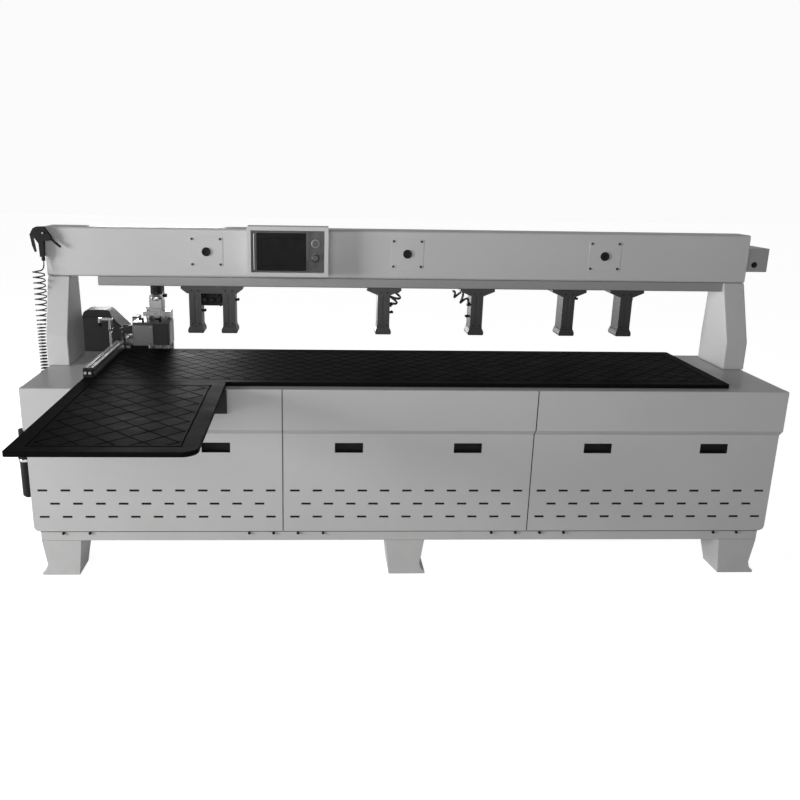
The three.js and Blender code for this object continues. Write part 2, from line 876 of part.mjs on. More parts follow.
// A square tube under the extension, with its end plate on the cabinet and a gusset below
function extensionArm(centre, plateLeft, plateRight) {
  const top = deckHeight - seat;
  const back = -seat;
  const front = -extension.reach + arm.frontInset;
  const x = [centre - arm.width / 2, centre + arm.width / 2];
  const tube = block(x, [front, back], [top - arm.height, top]);
  const plateSpan = [back - armPlate.thickness, back];
  const plate = block([plateLeft, plateRight], plateSpan, [top - armPlate.height, top]);
  const gusset = [
    [back, top - arm.height / 2],
    [back, top - arm.height - arm.gussetDrop],
    [back - armPlate.thickness, top - arm.height - arm.gussetDrop],
    [back - arm.gussetRun, top - arm.height],
    [back - arm.gussetRun, top - arm.height / 2],
  ];
  const web = extrudeX(gusset, centre - arm.gussetWidth / 2, centre + arm.gussetWidth / 2);
  return joined([tube, plate, web]);
}

// Two arms welded to a tie under the front half of the extension
function extensionFrame() {
  const left = boardLeft + arm.inset;
  const right = extensionRight - arm.inset;
  const plateEnd = extensionRight + armPlate.overhang;
  const top = deckHeight - seat;
  const tieFront = -extension.reach + armPlate.tie;
  const tie = block([left, right], [tieFront, tieFront + arm.width], [top - arm.height, top]);
  return joined([
    extensionArm(left, left - armPlate.width / 2, left + armPlate.width / 2),
    extensionArm(right, plateEnd - armPlate.width, plateEnd),
    tie,
  ]);
}

// Slotted aluminium profile along the left edge of the table
function sideFence() {
  const left = boardLeft;
  const right = left + fence.width;
  const top = tableTop + seat + fence.height;
  const low = tableTop + seat;
  const centre = (left + right) / 2;
  const middle = (low + top) / 2;
  const slot = fence.slotWidth / 2;
  const chamber = fence.chamberWidth / 2;
  const outline = [
    [left, low],
    [right, low],
    [right, middle - slot],
    [right - fence.lipDepth, middle - slot],
    [right - fence.lipDepth, middle - chamber],
    [right - fence.slotDepth, middle - slot],
    [right - fence.slotDepth, middle + slot],
    [right - fence.lipDepth, middle + chamber],
    [right - fence.lipDepth, middle + slot],
    [right, middle + slot],
    [right, top],
    [centre + slot, top],
    [centre + slot, top - fence.lipDepth],
    [centre + chamber, top - fence.lipDepth],
    [centre + slot, top - fence.slotDepth],
    [centre - slot, top - fence.slotDepth],
    [centre - chamber, top - fence.lipDepth],
    [centre - slot, top - fence.lipDepth],
    [centre - slot, top],
    [left, top],
  ];
  const rear = cabinetDepth - board.rearSetback;
  const front = boardFront + fence.frontInset;
  const bar = extrudeY(outline, front, rear);
  const cap = block([left, right], [front - fence.cap, front + fence.cap / 4], [low, top]);
  return bar.add(cap);
}

// Bridge: columns, beam and press rail

function bridgeColumn(centre) {
  const base = deckHeight + seat;
  const top = beam.bottom - seat;
  const knee = deckHeight + column.kneeHeight;
  const lean = Math.atan2(beamFront - columnFront, top - knee);
  const tangent = column.kneeRadius * Math.tan(lean / 2);
  const bendCentre = columnFront + column.kneeRadius;
  const halfTurn = 2 * quarterTurn;
  const bend = arc(bendCentre, knee - tangent, column.kneeRadius, halfTurn, halfTurn - lean, 3);
  const outline = [
    [columnRear, base],
    [columnFront, base],
    ...bend,
    [beamFront, top],
    [beamRear, top],
    [columnRear, knee],
  ];
  return extrudeX(outline, centre - column.width / 2, centre + column.width / 2);
}

function crossBeam() {
  const outline = roundedRectangle(beamFront, beamRear, beam.bottom, beamTop, beam.cornerRadius);
  const inner = roundedRectangle(
    beamFront + beam.wall,
    beamRear - beam.wall,
    beam.bottom + beam.wall,
    beamTop - beam.wall,
    beam.cornerRadius - beam.wall,
  );
  const bore = extrudeX(inner, beam.wall - halfLength, halfLength - beam.wall, 1);
  const shell = extrudeX(outline, -halfLength, halfLength).subtract(bore);
  const holes = [-1, 0, 1].map((step) =>
    rodY(
      beamHole.centre + step * beamHole.spacing,
      beam.bottom + beamHole.height,
      beamHole.radius,
      beamFront - overrun,
      beamFront + beam.wall + overrun,
    ),
  );
  const pegSpan = [beamFront - gun.pegReach, beamFront + beam.wall / 2];
  const peg = rodY(gunX + gun.peg, gunZ, gun.peg, ...pegSpan, 10);
  return cutBy(shell, holes).add(peg);
}

const pressRailBottom = beam.bottom - seat - pressRail.height;
const pressFront = beamFront + pressRail.setback;

function hangerRail() {
  const top = beam.bottom - seat;
  const rear = pressFront + pressRail.depth;
  const outline = [
    [pressFront, top],
    [pressFront, pressRailBottom + pressRail.bevel],
    [pressFront + pressRail.bevel, pressRailBottom],
    [rear - pressRail.bevel, pressRailBottom],
    [rear, pressRailBottom + pressRail.bevel],
    [rear, top],
  ];
  return extrudeX(outline, pressRail.leftInset - columnInner, columnInner - seat);
}

// Press cylinders and their feet

const pressPlaces = pressShares.map((share) => share * halfLength);
const pressY = pressFront + press.bodyDepth / 2;
const pressTop = pressRailBottom - seat;

function cylinderBody(x) {
  const half = press.bodyWidth / 2;
  const groove = press.grooveWidth / 2;
  const front = pressY - press.bodyDepth / 2;
  const rear = pressY + press.bodyDepth / 2;
  const deep = press.grooveDepth;
  const outline = [
    [x - half, front],
    [x - groove, front],
    [x - groove, front + deep],
    [x + groove, front + deep],
    [x + groove, front],
    [x + half, front],
    [x + half, rear],
    [x - half, rear],
  ];
  return extrudeZ(outline, press.bodyBottom, pressTop - press.hangerHeight / 2);
}

const guideRods = (x, radius, span) =>
  [-1, 1].map((side) => rodZ(x, pressY + (side * press.guideSpacing) / 2, radius, ...span, 8));

function rodBores(x) {
  const span = [press.bodyBottom - overrun, press.bodyBottom + press.boreRun];
  const bore = rodZ(x, pressY, press.pistonRadius + seat, ...span, 10);
  return [...guideRods(x, press.guideRadius + seat, span), bore];
}

// Front view of the hanger under the rail: a single one narrows towards its cylinder
function hangerView(left, right, topMargin, footMargin) {
  const low = pressTop - press.hangerHeight;
  const shoulder = low + (press.hangerHeight * 2) / 3;
  return [
    [left - topMargin, pressTop],
    [left - topMargin, shoulder],
    [left - footMargin, low],
    [right + footMargin, low],
    [right + topMargin, shoulder],
    [right + topMargin, pressTop],
  ];
}

function pressBody(places) {
  const single = places.length === 1;
  const topMargin = single ? press.hangerTopWidth / 2 : press.pairMargin + press.bodyWidth / 2;
  const footMargin = single ? press.hangerFootWidth / 2 : press.pairMargin;
  const view = hangerView(places[0], places[places.length - 1], topMargin, footMargin);
  const hanger = extrudeY(view, pressFront, pressFront + pressRail.depth);
  return cutBy(joined([hanger, ...places.map(cylinderBody)]), places.flatMap(rodBores));
}

function pressFoot(x) {
  const top = press.bodyBottom - seat;
  const neck = top - foot.height + foot.lip;
  const low = top - foot.height - foot.pad;
  const wide = foot.bottomWidth / 2;
  const outline = [
    [x - foot.topWidth / 2, top],
    [x - wide, neck],
    [x - wide, low + foot.pad / 2],
    [x - wide + foot.pad / 2, low],
    [x + wide - foot.pad / 2, low],
    [x + wide, low + foot.pad / 2],
    [x + wide, neck],
    [x + foot.topWidth / 2, top],
  ];
  const reach = press.bodyDepth / 2 + foot.overhang;
  const sole = extrudeY(outline, pressY - reach, pressY + reach);
  const span = [top - foot.height / 2, top + press.rodLength];
  const piston = rodZ(x, pressY, press.pistonRadius, ...span, 10);
  return joined([sole, ...guideRods(x, press.guideRadius, span), piston]);
}

// Control box

const boxFront = beamFront - box.depth;
const boxFloor = boxFront + box.recess;
const recessLeft = box.left + box.frame;
const recessRight = box.left + box.width - box.frame;
const recessLow = box.bottom + box.frame;
const recessHigh = box.bottom + box.height - box.frame;
const buttonX = recessRight - button.columnInset;
const buttonZ = recessLow + button.heightAboveFloor;
const stopZ = recessLow + stopButton.heightAboveFloor;

function controlBox() {
  const right = box.left + box.width;
  const top = box.bottom + box.height;
  const back = beamFront - seat;
  const outline = roundedRectangle(box.left, right, box.bottom, top, box.cornerRadius);
  const outer = extrudeY(outline, boxFront, back, 2);
  const recessSpan = [boxFront - overrun, boxFloor];
  const recess = block([recessLeft, recessRight], recessSpan, [recessLow, recessHigh]);
  const inside = block(
    [box.left + box.wall, right - box.wall],
    [boxFloor + box.wall, back + overrun],
    [box.bottom + box.wall, top - box.wall],
  );
  const bores = [
    rodY(buttonX, buttonZ, button.stem + seat, boxFloor - button.reach - overrun, boxFloor + overrun),
    rodY(buttonX, stopZ, stopButton.stem + seat, boxFloor - button.reach - overrun, boxFloor + overrun),
  ];
  const rimSpan = [boxFloor - button.rim, boxFloor + box.wall / 2];
  const rim = rodY(buttonX, buttonZ, button.radius + button.rim, ...rimSpan);
  const stopRim = rodY(buttonX, stopZ, stopButton.radius, ...rimSpan);
  return cutBy(joined([cutBy(outer, [recess, inside]), rim, stopRim]), bores);
}

function touchScreen() {
  const left = recessLeft + screen.left;
  const right = recessRight - screen.right;
  const low = recessLow + screen.bottom;
  const high = recessHigh - screen.top;
  const back = boxFloor - seat;
  const front = back - screen.thickness;
  const body = extrudeY(
    roundedRectangle(left, right, low, high, box.cornerRadius),
    front,
    back,
    2,
  );
  const glassCut = block(
    [left + screen.bezel, right - screen.bezel],
    [front - overrun, front + screen.sink],
    [low + screen.bezel, high - screen.bezel],
  );
  return body.subtract(glassCut);
}

function pushButton() {
  const face = boxFloor - button.rim - button.reach;
  const head = rodY(buttonX, buttonZ, button.radius, face, boxFloor - button.rim - seat - button.rim);
  const stem = rodY(buttonX, buttonZ, button.stem, face + button.reach / 3, boxFloor + button.stemLength);
  return head.add(stem);
}

function emergencyStop() {
  const face = boxFloor - button.rim - stopButton.neck - stopButton.reach;
  const profile = [
    [0, 0],
    [stopButton.radius - stopButton.crown, 0],
    [stopButton.radius, stopButton.crown],
    [stopButton.radius, stopButton.reach],
    [stopButton.stem, stopButton.reach],
    [stopButton.stem, stopButton.reach + stopButton.neck + button.rim + button.stemLength],
    [0, stopButton.reach + stopButton.neck + button.rim + button.stemLength],
  ];
  const points = profile.map(([radius, height]) => new THREE.Vector2(radius, height));
  return solidOf(new THREE.LatheGeometry(points, 16).translate(buttonX, face, stopZ));
}

// Cable trunk: a sheet channel with a slot along its rear face, closed at both ends

function cableTrunk() {
  const front = beamRear + seat;
  const rear = front + trunk.depth;
  const x = [trunk.leftInset - columnInner, halfLength + trunk.rightReach];
  const z = [trunk.bottom, trunk.bottom + trunk.height];
  const wall = trunk.wall;
  const shell = block(x, [front, rear], z);
  const hollow = block([x[0] + wall, x[1] - wall], [front + wall, rear - wall], [z[0] + wall, z[1] - wall]);
  const slotLow = trunk.bottom + trunk.slotHeight;
  const slotSpan = [x[0] + 2 * wall, x[1] - 2 * wall];
  const slot = block(slotSpan, [rear - 2 * wall, rear + overrun], [slotLow, slotLow + trunk.slot]);
  return cutBy(shell, [hollow, slot]);
}

// Long axis: girder with its guide rails, rack and pinion

const guidePlaces = [girderFront + guide.edge, girderRear - guide.edge];

function axisGirder() {
  const x = [-girderHalf, girderHalf];
  const tube = block(x, [girderFront, girderRear], [girder.bottom, girderTop]);
  const bore = block(
    [x[0] - overrun, x[1] + overrun],
    [girderFront + girder.wall, girderRear - girder.wall],
    [girder.bottom + girder.wall, girderTop - girder.wall],
  );
  const rails = guidePlaces.map((y) =>
    block(x, [y - guide.width / 2, y + guide.width / 2], [girderTop - girder.wall / 2, guideTop]),
  );
  const stations = [-columnCentre, 0, columnCentre].flatMap(girderBracket);
  return joined([tube.subtract(bore), ...rails, ...stations]);
}

function girderBracket(centre) {
  const face = cabinetDepth + seat;
  const low = girder.bottom - bracket.drop;
  const inset = Math.min(bracket.width / 2, girderHalf - Math.abs(centre));
  const flange = block([centre - inset, centre + inset], [face, face + bracket.flange], [low, girderTop]);
  const web = [
    [face + bracket.flange / 2, low],
    [face + bracket.flange / 2, girderTop],
    [girderFront + girder.wall / 2, girderTop],
    [girderFront + girder.wall / 2, girder.bottom],
  ];
  const spread = Math.min(bracket.webSpacing / 2, inset - bracket.web);
  const webs = [-1, 1].map((side) => {
    const place = centre + side * spread;
    return extrudeX(web, place - bracket.web / 2, place + bracket.web / 2);
  });
  return [flange, ...webs];
}

const toothPitch = Math.PI * rack.module;
const flankRun = Math.tan(Math.PI / 9) * rack.module;
const rackTop = girderTop - rack.drop;

// The rack's teeth point to the rear, one every circular pitch.
function gearRack() {
  const back = girderRear + seat;
  const root = rackRoot;
  const tip = pitchLine + rack.module;
  const count = Math.ceil((carriage.travel + 2 * rack.margin) / toothPitch);
  const start = pinionX - toothPitch * Math.floor(rack.margin / toothPitch);
  const outline = [[start - toothPitch / 2, back]];
  const halfRoot = toothPitch / 4 + flankRun * dedendumShare;
  const halfTip = toothPitch / 4 - flankRun;
  outline.push([start - toothPitch / 2, root]);
  for (let k = 0; k < count; k += 1) {
    const x = start + k * toothPitch;
    outline.push([x - halfRoot, root], [x - halfTip, tip], [x + halfTip, tip], [x + halfRoot, root]);
  }
  const end = start + (count - 1) * toothPitch + toothPitch / 2;
  outline.push([end, root], [end, back]);
  return extrudeZ(outline, rackTop - rack.height, rackTop);
}

// Straight-flanked teeth, with a gap facing the rack tooth that lies at the pinion's own place
function drivePinion() {
  const tip = pitchRadius + rack.module * addendumShare;
  const root = pitchRadius - rack.module * dedendumShare;
  const step = (2 * Math.PI) / pinion.teeth;
  const tipShare = 0.11;
  const rootShare = 0.3;
  const outline = [];
  for (let k = 0; k < pinion.teeth; k += 1) {
    const middle = -quarterTurn + (k + 0.5) * step;
    const tooth = [[root, -rootShare], [tip, -tipShare], [tip, tipShare], [root, rootShare]];
    for (const [radius, share] of tooth) {
      const angle = middle + share * step;
      outline.push([pinionX + radius * Math.cos(angle), pinionY + radius * Math.sin(angle)]);
    }
  }
  const gear = extrudeZ(outline, rackTop - rack.height, rackTop);
  const boss = rodZ(pinionX, pinionY, pinion.boss, rackTop - rack.height / 2, plateBottom - seat);
  const shaft = rodZ(pinionX, pinionY, pinion.shaft, rackTop, plateBottom + pinion.shaftTop);
  return joined([gear, boss, shaft]);
}

// Carriage plate on four guide blocks

function guideBlock(x, y) {
  const body = block(
    [x - carriage.block / 2, x + carriage.block / 2],
    [y - carriage.blockWidth / 2, y + carriage.blockWidth / 2],
    [plateBottom - carriage.blockDrop, plateBottom + carriage.plate / 2],
  );
  const channel = block(
    [x - carriage.block, x + carriage.block],
    [y - guide.width / 2 - seat, y + guide.width / 2 + seat],
    [plateBottom - carriage.blockDrop - overrun, guideTop + seat],
  );
  return body.subtract(channel);
}

function carriagePlate() {
  const x = [carriageLeft, carriageRight];
  const y = [girderFront, carriageRear];
  const plate = extrudeZ(roundedRectangle(...x, ...y, board.cornerRadius), plateBottom, plateTop, 2);
  const inset = carriage.block / 2 + board.cornerRadius;
  const ends = [x[0] + inset, x[1] - inset];
  const blocks = ends.flatMap((place) => guidePlaces.map((rowY) => guideBlock(place, rowY)));
  const hole = rodZ(pinionX, pinionY, pinion.shaft + sheet, plateBottom - overrun, plateTop + overrun);
  return joined([plate, ...blocks]).subtract(hole);
}

function driveMotor() {
  const base = plateTop + seat;
  const flat = motor.frame / 2;
  const reducer = extrudeZ(
    roundedRectangle(pinionX - flat, pinionX + flat, pinionY - flat, pinionY + flat, board.cornerRadius),
    base,
    base + motor.reducer,
    2,
  );
  const half = motor.body / 2;
  const body = block(
    [pinionX - half, pinionX + half],
    [pinionY - half, pinionY + half],
    [base + motor.reducer / 2, base + motor.reducer + motor.bodyHeight],
  );
  const pocket = rodZ(pinionX, pinionY, motor.shaftPocket, base - overrun, base + motor.pocketDepth);
  return reducer.add(body).subtract(pocket);
}

// Folded dark cover over the drive motor, open below
function motorHood() {
  const base = plateTop + seat;
  const left = carriageLeft - hood.leftOverhang;
  const right = carriageRight - hood.rightInset;
  const top = plateTop + hood.rise;
  const outline = (inset) => [
    [left + inset, base - (inset ? overrun : 0)],
    [left + inset, top - hood.shoulderDrop - inset / 2],
    [left + hood.shoulderRun, top - inset],
    [right - hood.slopeRun - inset / 2, top - inset],
    [right - inset, top - hood.slopeDrop - inset / 2],
    [right - inset, base - (inset ? overrun : 0)],
  ];
  // The front of the top slopes down like a brow
  const brow = (inset) => {
    const edge = top - inset / Math.cos(Math.atan2(hood.browDrop, hood.browRun));
    const wedge = [
      [hoodFront - hood.browRun, edge - 2 * hood.browDrop],
      [hoodFront + 2 * hood.browRun, edge + hood.browDrop],
      [hoodFront - hood.browRun, edge + hood.browDrop],
    ];
    return extrudeX(wedge, left - overrun, right + overrun);
  };
  const shell = extrudeY(outline(0), hoodFront, carriageRear).subtract(brow(0));
  const inside = extrudeY(outline(sheet), hoodFront + sheet, carriageRear - sheet);
  return shell.subtract(inside.subtract(brow(sheet)));
}

// Height axis: foot and head blocks on a rear plate, two shafts, and the arm to the cable trunk

const liftHead = plateTop + lift.headFromPlate;
const liftPlateFront = liftY + lift.plateGap;
const liftPlateRear = liftPlateFront + lift.plateThickness;

function liftColumn() {
  const base = plateTop + seat;
  const top = liftHead + lift.headHeight;
  const x = [liftX - lift.plateWidth / 2, liftX + lift.plateWidth / 2];
  const front = liftY - lift.blockFront;
  const plate = block(x, [liftPlateFront, liftPlateRear], [base, top]);
  const lower = block(x, [front, liftPlateFront + overrun], [base, base + lift.footHeight]);
  const upper = block(x, [front, liftPlateFront + overrun], [liftHead, top]);
  const shaftSpan = [base + lift.footHeight / 2, liftHead + lift.headHeight / 2];
  const shafts = [-1, 1].map((end) =>
    rodZ(liftX + (end * lift.shaftSpacing) / 2, liftY, lift.shaftRadius, ...shaftSpan, 12),
  );
  const half = cableArm.width / 2;
  const tongueZ = trunk.bottom + trunk.slotHeight + trunk.slot / 2;
  const rise = block(
    [liftX - half, liftX + half],
    [liftPlateRear - cableArm.thickness, liftPlateRear],
    [top - lift.headHeight, tongueZ + cableArm.thickness / 2],
  );
  const tongue = block(
    [liftX - half, liftX + half],
    [beamRear + trunk.depth - cableArm.tongueEnd, liftPlateRear],
    [tongueZ - cableArm.thickness / 2, tongueZ + cableArm.thickness / 2],
  );
  const screwSpan = [base + lift.footHeight - lift.screwSink, top + overrun];
  const screwHole = rodZ(liftX, liftY, lift.screwRadius + lift.running, ...screwSpan, 12);
  return joined([plate, lower, upper, ...shafts, rise, tongue]).subtract(screwHole);
}

function liftScrew() {
  const low = plateTop + seat + lift.footHeight - lift.screwSink + lift.running;
  const high = liftHead + lift.headHeight + seat + lift.screwTop - lift.running;
  return rodZ(liftX, liftY, lift.screwRadius, low, high, 12);
}

function liftMotorUnit() {
  const base = liftHead + lift.headHeight + seat;
  const half = liftMotor.flange / 2;
  const shoulder = base + liftMotor.flangeHeight;
  const flange = block(
    [liftX - half, liftX + half],
    [liftY - half, liftY + half],
    [base, shoulder],
  );
  const dome = liftMotor.domeRadius;
  const capTop = shoulder + liftMotor.domeHeight + liftMotor.capHeight;
  const crown = turned(
    [
      [0, shoulder - liftMotor.capEdge],
      [dome, shoulder - liftMotor.capEdge],
      [dome, shoulder + liftMotor.domeHeight / 2],
      [liftMotor.capRadius, shoulder + liftMotor.domeHeight],
      [liftMotor.capRadius, capTop - liftMotor.capEdge],
      [liftMotor.capRadius - liftMotor.capEdge, capTop],
      [0, capTop],
    ],
    liftX,
    liftY,
    18,
  );
  const plugLow = shoulder + liftMotor.domeHeight / 3;
  const plug = block(
    [liftX + dome / 2, liftX + dome + liftMotor.plugReach],
    [liftY - liftMotor.plug / 2, liftY + liftMotor.plug / 2],
    [plugLow, plugLow + liftMotor.plug],
  );
  const ear = block(
    [liftX - half - liftMotor.ear, liftX],
    [liftY - liftMotor.plug / 2, liftY + liftMotor.plug / 2],
    [base, base + liftMotor.earHeight],
  );
  const bore = rodZ(liftX, liftY, lift.screwRadius + lift.running, base - overrun, base + lift.screwTop, 12);
  return joined([flange, crown, plug, ear]).subtract(bore);
}

// Housing on the shafts, with the drill nozzle at its left and the feed guide behind

function liftHousing() {
  const { bottom, height, chamfer, crown } = housing;
  const [front, rear] = [housingFront, housingRear];
  const top = bottom + height;
  const plan = [
    [housingLeft, front + chamfer / 3],
    [housingLeft + chamfer / 3, front],
    [housingRight - chamfer, front],
    [housingRight, front + chamfer],
    [housingRight, rear],
    [housingLeft, rear],
  ];
  const side = [
    [front, bottom],
    [rear, bottom],
    [rear, top],
    [front + crown, top],
    [front, top - crown],
  ];
  const profile = extrudeX(side, housingLeft - overrun, housingRight + overrun);
  const body = extrudeZ(plan, bottom, top).intersect(profile);
  const nozzleLeft = drillX - nozzle.width / 2;
  const nozzleView = [
    [nozzleLeft, bottom],
    [housingLeft + overrun, bottom],
    [housingLeft + overrun, top - crown],
    [housingLeft - overrun, top - crown],
    [nozzleLeft, top - nozzle.shoulder],
  ];
  const nozzleBody = extrudeY(nozzleView, front, front + nozzle.depth);
  const mouth = block(
    [drillX - nozzle.openingWidth / 2, drillX + nozzle.openingWidth / 2],
    [front - overrun, front + nozzle.depth + overrun],
    [bottom + nozzle.openingBottom, bottom + nozzle.openingBottom + nozzle.openingHeight],
  );
  const guidePlate = block(
    [housingLeft, housingLeft + feed.plate],
    [rear - overrun, feedRear],
    [bottom + feed.plateBottom, bottom + feed.plateTop],
  );
  const rodPlace = drillZ + feed.rodRise;
  const half = feed.actuator / 2;
  const actuator = block(
    [drillX - half, drillX + half],
    [actuatorStart, feedRear],
    [rodPlace - half, rodPlace + half],
  );
  const web = block(
    [drillX, housingLeft + feed.plate],
    [housingRear + feed.webReach, feedRear],
    [rodPlace - half, rodPlace - half / 2],
  );
  const boreSpan = [actuatorStart - overrun, feedRear - feed.boreEnd];
  const rodBore = rodY(drillX, rodPlace, feed.rodRadius + seat, ...boreSpan, 12);
  const shaftBores = [-1, 1].map((end) =>
    rodZ(
      liftX + (end * lift.shaftSpacing) / 2,
      liftY,
      lift.shaftRadius + seat,
      bottom - overrun,
      top + overrun,
      12,
    ),
  );
  const screwBore = rodZ(liftX, liftY, lift.screwRadius + seat, bottom - overrun, top + overrun, 12);
  const whole = joined([body, nozzleBody, guidePlate, actuator, web]);
  return cutBy(whole, [mouth, rodBore, ...shaftBores, screwBore]);
}

// Drilling unit: spindle motor on the feed guide, with the rod of its actuator above
function drillUnit() {
  const rear = drillStart + drill.bodyLength;
  const body = rodY(drillX, drillZ, drill.bodyRadius, drillStart, rear, 20);
  const nose = rodY(drillX, drillZ, drill.noseRadius, drillStart - drill.noseLength, drillStart + overrun);
  const cap = rodY(drillX, drillZ, drill.capRadius, rear - overrun, rear + drill.capLength);
  const shoe = block(
    [drillX, housingLeft - seat],
    [housingRear + seat, housingRear + feed.shoeReach],
    [drillZ - feed.shoeHeight / 2, drillZ + feed.shoeHeight / 2],
  );
  const rodHeight = drillZ + feed.rodRise;
  const half = feed.armWidth / 2;
  const armEnd = armStart + feed.armThickness;
  const riser = block([drillX - half, drillX + half], [armStart, armEnd], [drillZ, rodHeight + half]);
  const rod = rodY(drillX, rodHeight, feed.rodRadius, armEnd - overrun, feedRear - feed.rodEnd, 12);
  return joined([body, nose, cap, shoe, riser, rod]);
}

function drillChuck() {
  const back = drillStart - drill.noseLength - seat;
  const front = back - chuck.length;
  const tip = front - chuck.bitLength;
  const profile = [
    [0, tip],
    [chuck.bitRadius, tip + chuck.tip],
    [chuck.bitRadius, front],
    [chuck.radius - chuck.tip / 2, front],
    [chuck.radius, front + chuck.tip],
    [chuck.radius, back],
    [0, back],
  ];
  const points = profile.map(([radius, place]) => new THREE.Vector2(radius, place));
  return solidOf(new THREE.LatheGeometry(points, chuck.sides).translate(drillX, 0, drillZ));
}

// Side stop pin and compressed air

function stopPin() {
  const top = deckHeight + pin.top;
  return turned(
    [
      [0, deckHeight - pin.bottom],
      [pin.radius, deckHeight - pin.bottom],
      [pin.radius, top - pin.tip],
      [pin.radius - pin.tip, top],
      [0, top],
    ],
    pinX,
    pinY,
    16,
  );
}

const wallFace = -coverHalf - seat;
const airRight = wallFace - airUnit.stand;
const airX = airRight - airUnit.width / 2;
const airTop = airUnit.bodyBottom + airUnit.bodyHeight;

// Filter and regulator body with its bowl, gauge and the pipe that feeds the hose
function airFilter() {
  const half = airUnit.width / 2;
  const left = airRight - airUnit.width;
  const body = block([left, airRight], [airY - half, airY + half], [airUnit.bodyBottom, airTop]);
  const stand = block(
    [airRight - overrun, wallFace],
    [airY - half / 2, airY + half / 2],
    [airUnit.bodyBottom + airUnit.stand, airTop],
  );
  const ringLow = airUnit.bodyBottom - bowl.ringHeight;
  const bowlLow = ringLow - bowl.height;
  const spine = turned(
    [
      [0, bowlLow],
      [bowl.tipRadius, bowlLow],
      [bowl.tipRadius + bowl.round, bowlLow + bowl.round],
      [bowl.radius, ringLow - overrun],
      [bowl.radius, ringLow],
      [bowl.ring, ringLow],
      [bowl.ring, airUnit.bodyBottom + overrun],
      [0, airUnit.bodyBottom + overrun],
    ],
    airX,
    airY,
    18,
  );
  const dialSpan = [airY - half - gauge.depth, airY];
  const dial = rodY(airX, airUnit.bodyBottom + gauge.height, gauge.radius, ...dialSpan, 18);
  return joined([body, stand, spine, dial, ...outletPipe()]);
}

function outletPipe() {
  const height = airUnit.bodyBottom + airPipe.height;
  const half = airPipe.elbow / 2;
  const riserY = hoseY - coilRadius;
  const run = rodY(airX, height, airPipe.radius, airY, riserY, 10);
  const elbowSpan = [riserY - half, riserY + half];
  const elbow = block([airX - half, airX + half], elbowSpan, [height - half, height + half]);
  const riser = rodZ(airX, riserY, airPipe.radius, height, hoseBottom - seat, 10);
  const clipEnd = riserY - airPipe.clipInset;
  const clip = block(
    [airX, wallFace],
    [clipEnd - airPipe.clipWidth, clipEnd],
    [height - airPipe.clipHeight / 2, height + airPipe.clipHeight / 2],
  );
  return [run, elbow, riser, clip];
}

function regulatorKnob() {
  const low = airTop + seat;
  const high = low + knob.height;
  return turned(
    [
      [0, low],
      [knob.neck, low],
      [knob.neck, low + knob.neckHeight],
      [knob.radius, low + knob.neckHeight],
      [knob.radius, high - knob.edge],
      [knob.radius - knob.edge, high],
      [0, high],
    ],
    airX,
    airY,
    18,
  );
}

const hoseEndX = airX + coilRadius;

// The curly hose is held in the space of its turns.
function airHose() {
  return rodZ(airX, hoseY, hose.radius, hoseBottom, hoseTop, 12);
}

// Blow gun on its peg, nozzle to the lower right: points from the peg's line, as shares of the gun's height
const gunOutlineShares = [
  [-0.3786, 0.0214],
  [-0.2857, 0.1571],
  [-0.1929, 0.2],
  [0.0429, 0.2071],
  [0.3, -0.1786],
  [0.1929, -0.2571],
  [0.0143, -0.2571],
  [0.0143, -0.7714],
  [-0.1286, -0.8],
  [-0.1429, -0.3571],
  [-0.2714, -0.1643],
];
const gunTriggerShares = [
  [-0.3736, 0.0079],
  [-0.3307, -0.0664],
  [-0.2571, -0.6286],
  [-0.3, -0.6429],
  [-0.3714, -0.4286],
  [-0.4286, -0.0429],
];
const gunNozzleShares = [[0.1857, -0.1429], [0.5571, -0.4714]];
const onGun = ([a, b]) => [gunX + a * gun.height, gunZ + b * gun.height];

function blowGun() {
  const y = [hoseY - gun.thickness / 2, hoseY + gun.thickness / 2];
  const body = extrudeY(gunOutlineShares.map(onGun), ...y);
  const eye = rodY(gunX + gun.peg, gunZ, gun.eye, y[0] - overrun, y[1] + overrun, 12);
  const [from, to] = gunNozzleShares.map((end) => {
    const [x, z] = onGun(end);
    return new THREE.Vector3(x, hoseY, z);
  });
  const direction = to.clone().sub(from);
  const pipe = new THREE.CylinderGeometry(gun.nozzleRadius, gun.nozzleRadius, direction.length(), 10);
  pipe.applyQuaternion(new THREE.Quaternion().setFromUnitVectors(yAxis, direction.normalize()));
  const halfway = from.clone().add(to).multiplyScalar(1 / 2);
  const spout = solidOf(pipe.translate(halfway.x, halfway.y, halfway.z));
  const nutLow = hoseTop + seat;
  const nut = rodZ(hoseEndX, hoseY, gun.nut, nutLow, nutLow + gun.nutHeight + overrun, 6);
  return joined([body, spout, nut]).subtract(eye);
}

function gunTrigger() {
  const half = gun.triggerThickness / 2;
  return extrudeY(gunTriggerShares.map(onGun), hoseY - half, hoseY + half);
}

// Assembly

const sides = { left: -1, right: 1 };
const legCentre = halfLength - rail.endInset - leg.topWidth / 2;

piece('leg_frame_left', legFrame(-legCentre, -1), paint);
piece('leg_frame_middle', legFrame(0, 1), paint);
piece('leg_frame_right', legFrame(legCentre, 1), paint);
piece('base_rail_front', baseRail(railFront), paint);
piece('base_rail_rear', baseRail(railRear - rail.depth), paint);
piece('upright_frame_left', uprightFrame(-columnCentre), paint);
piece('upright_frame_middle', uprightFrame(0), paint);
piece('upright_frame_right', uprightFrame(columnCentre), paint);

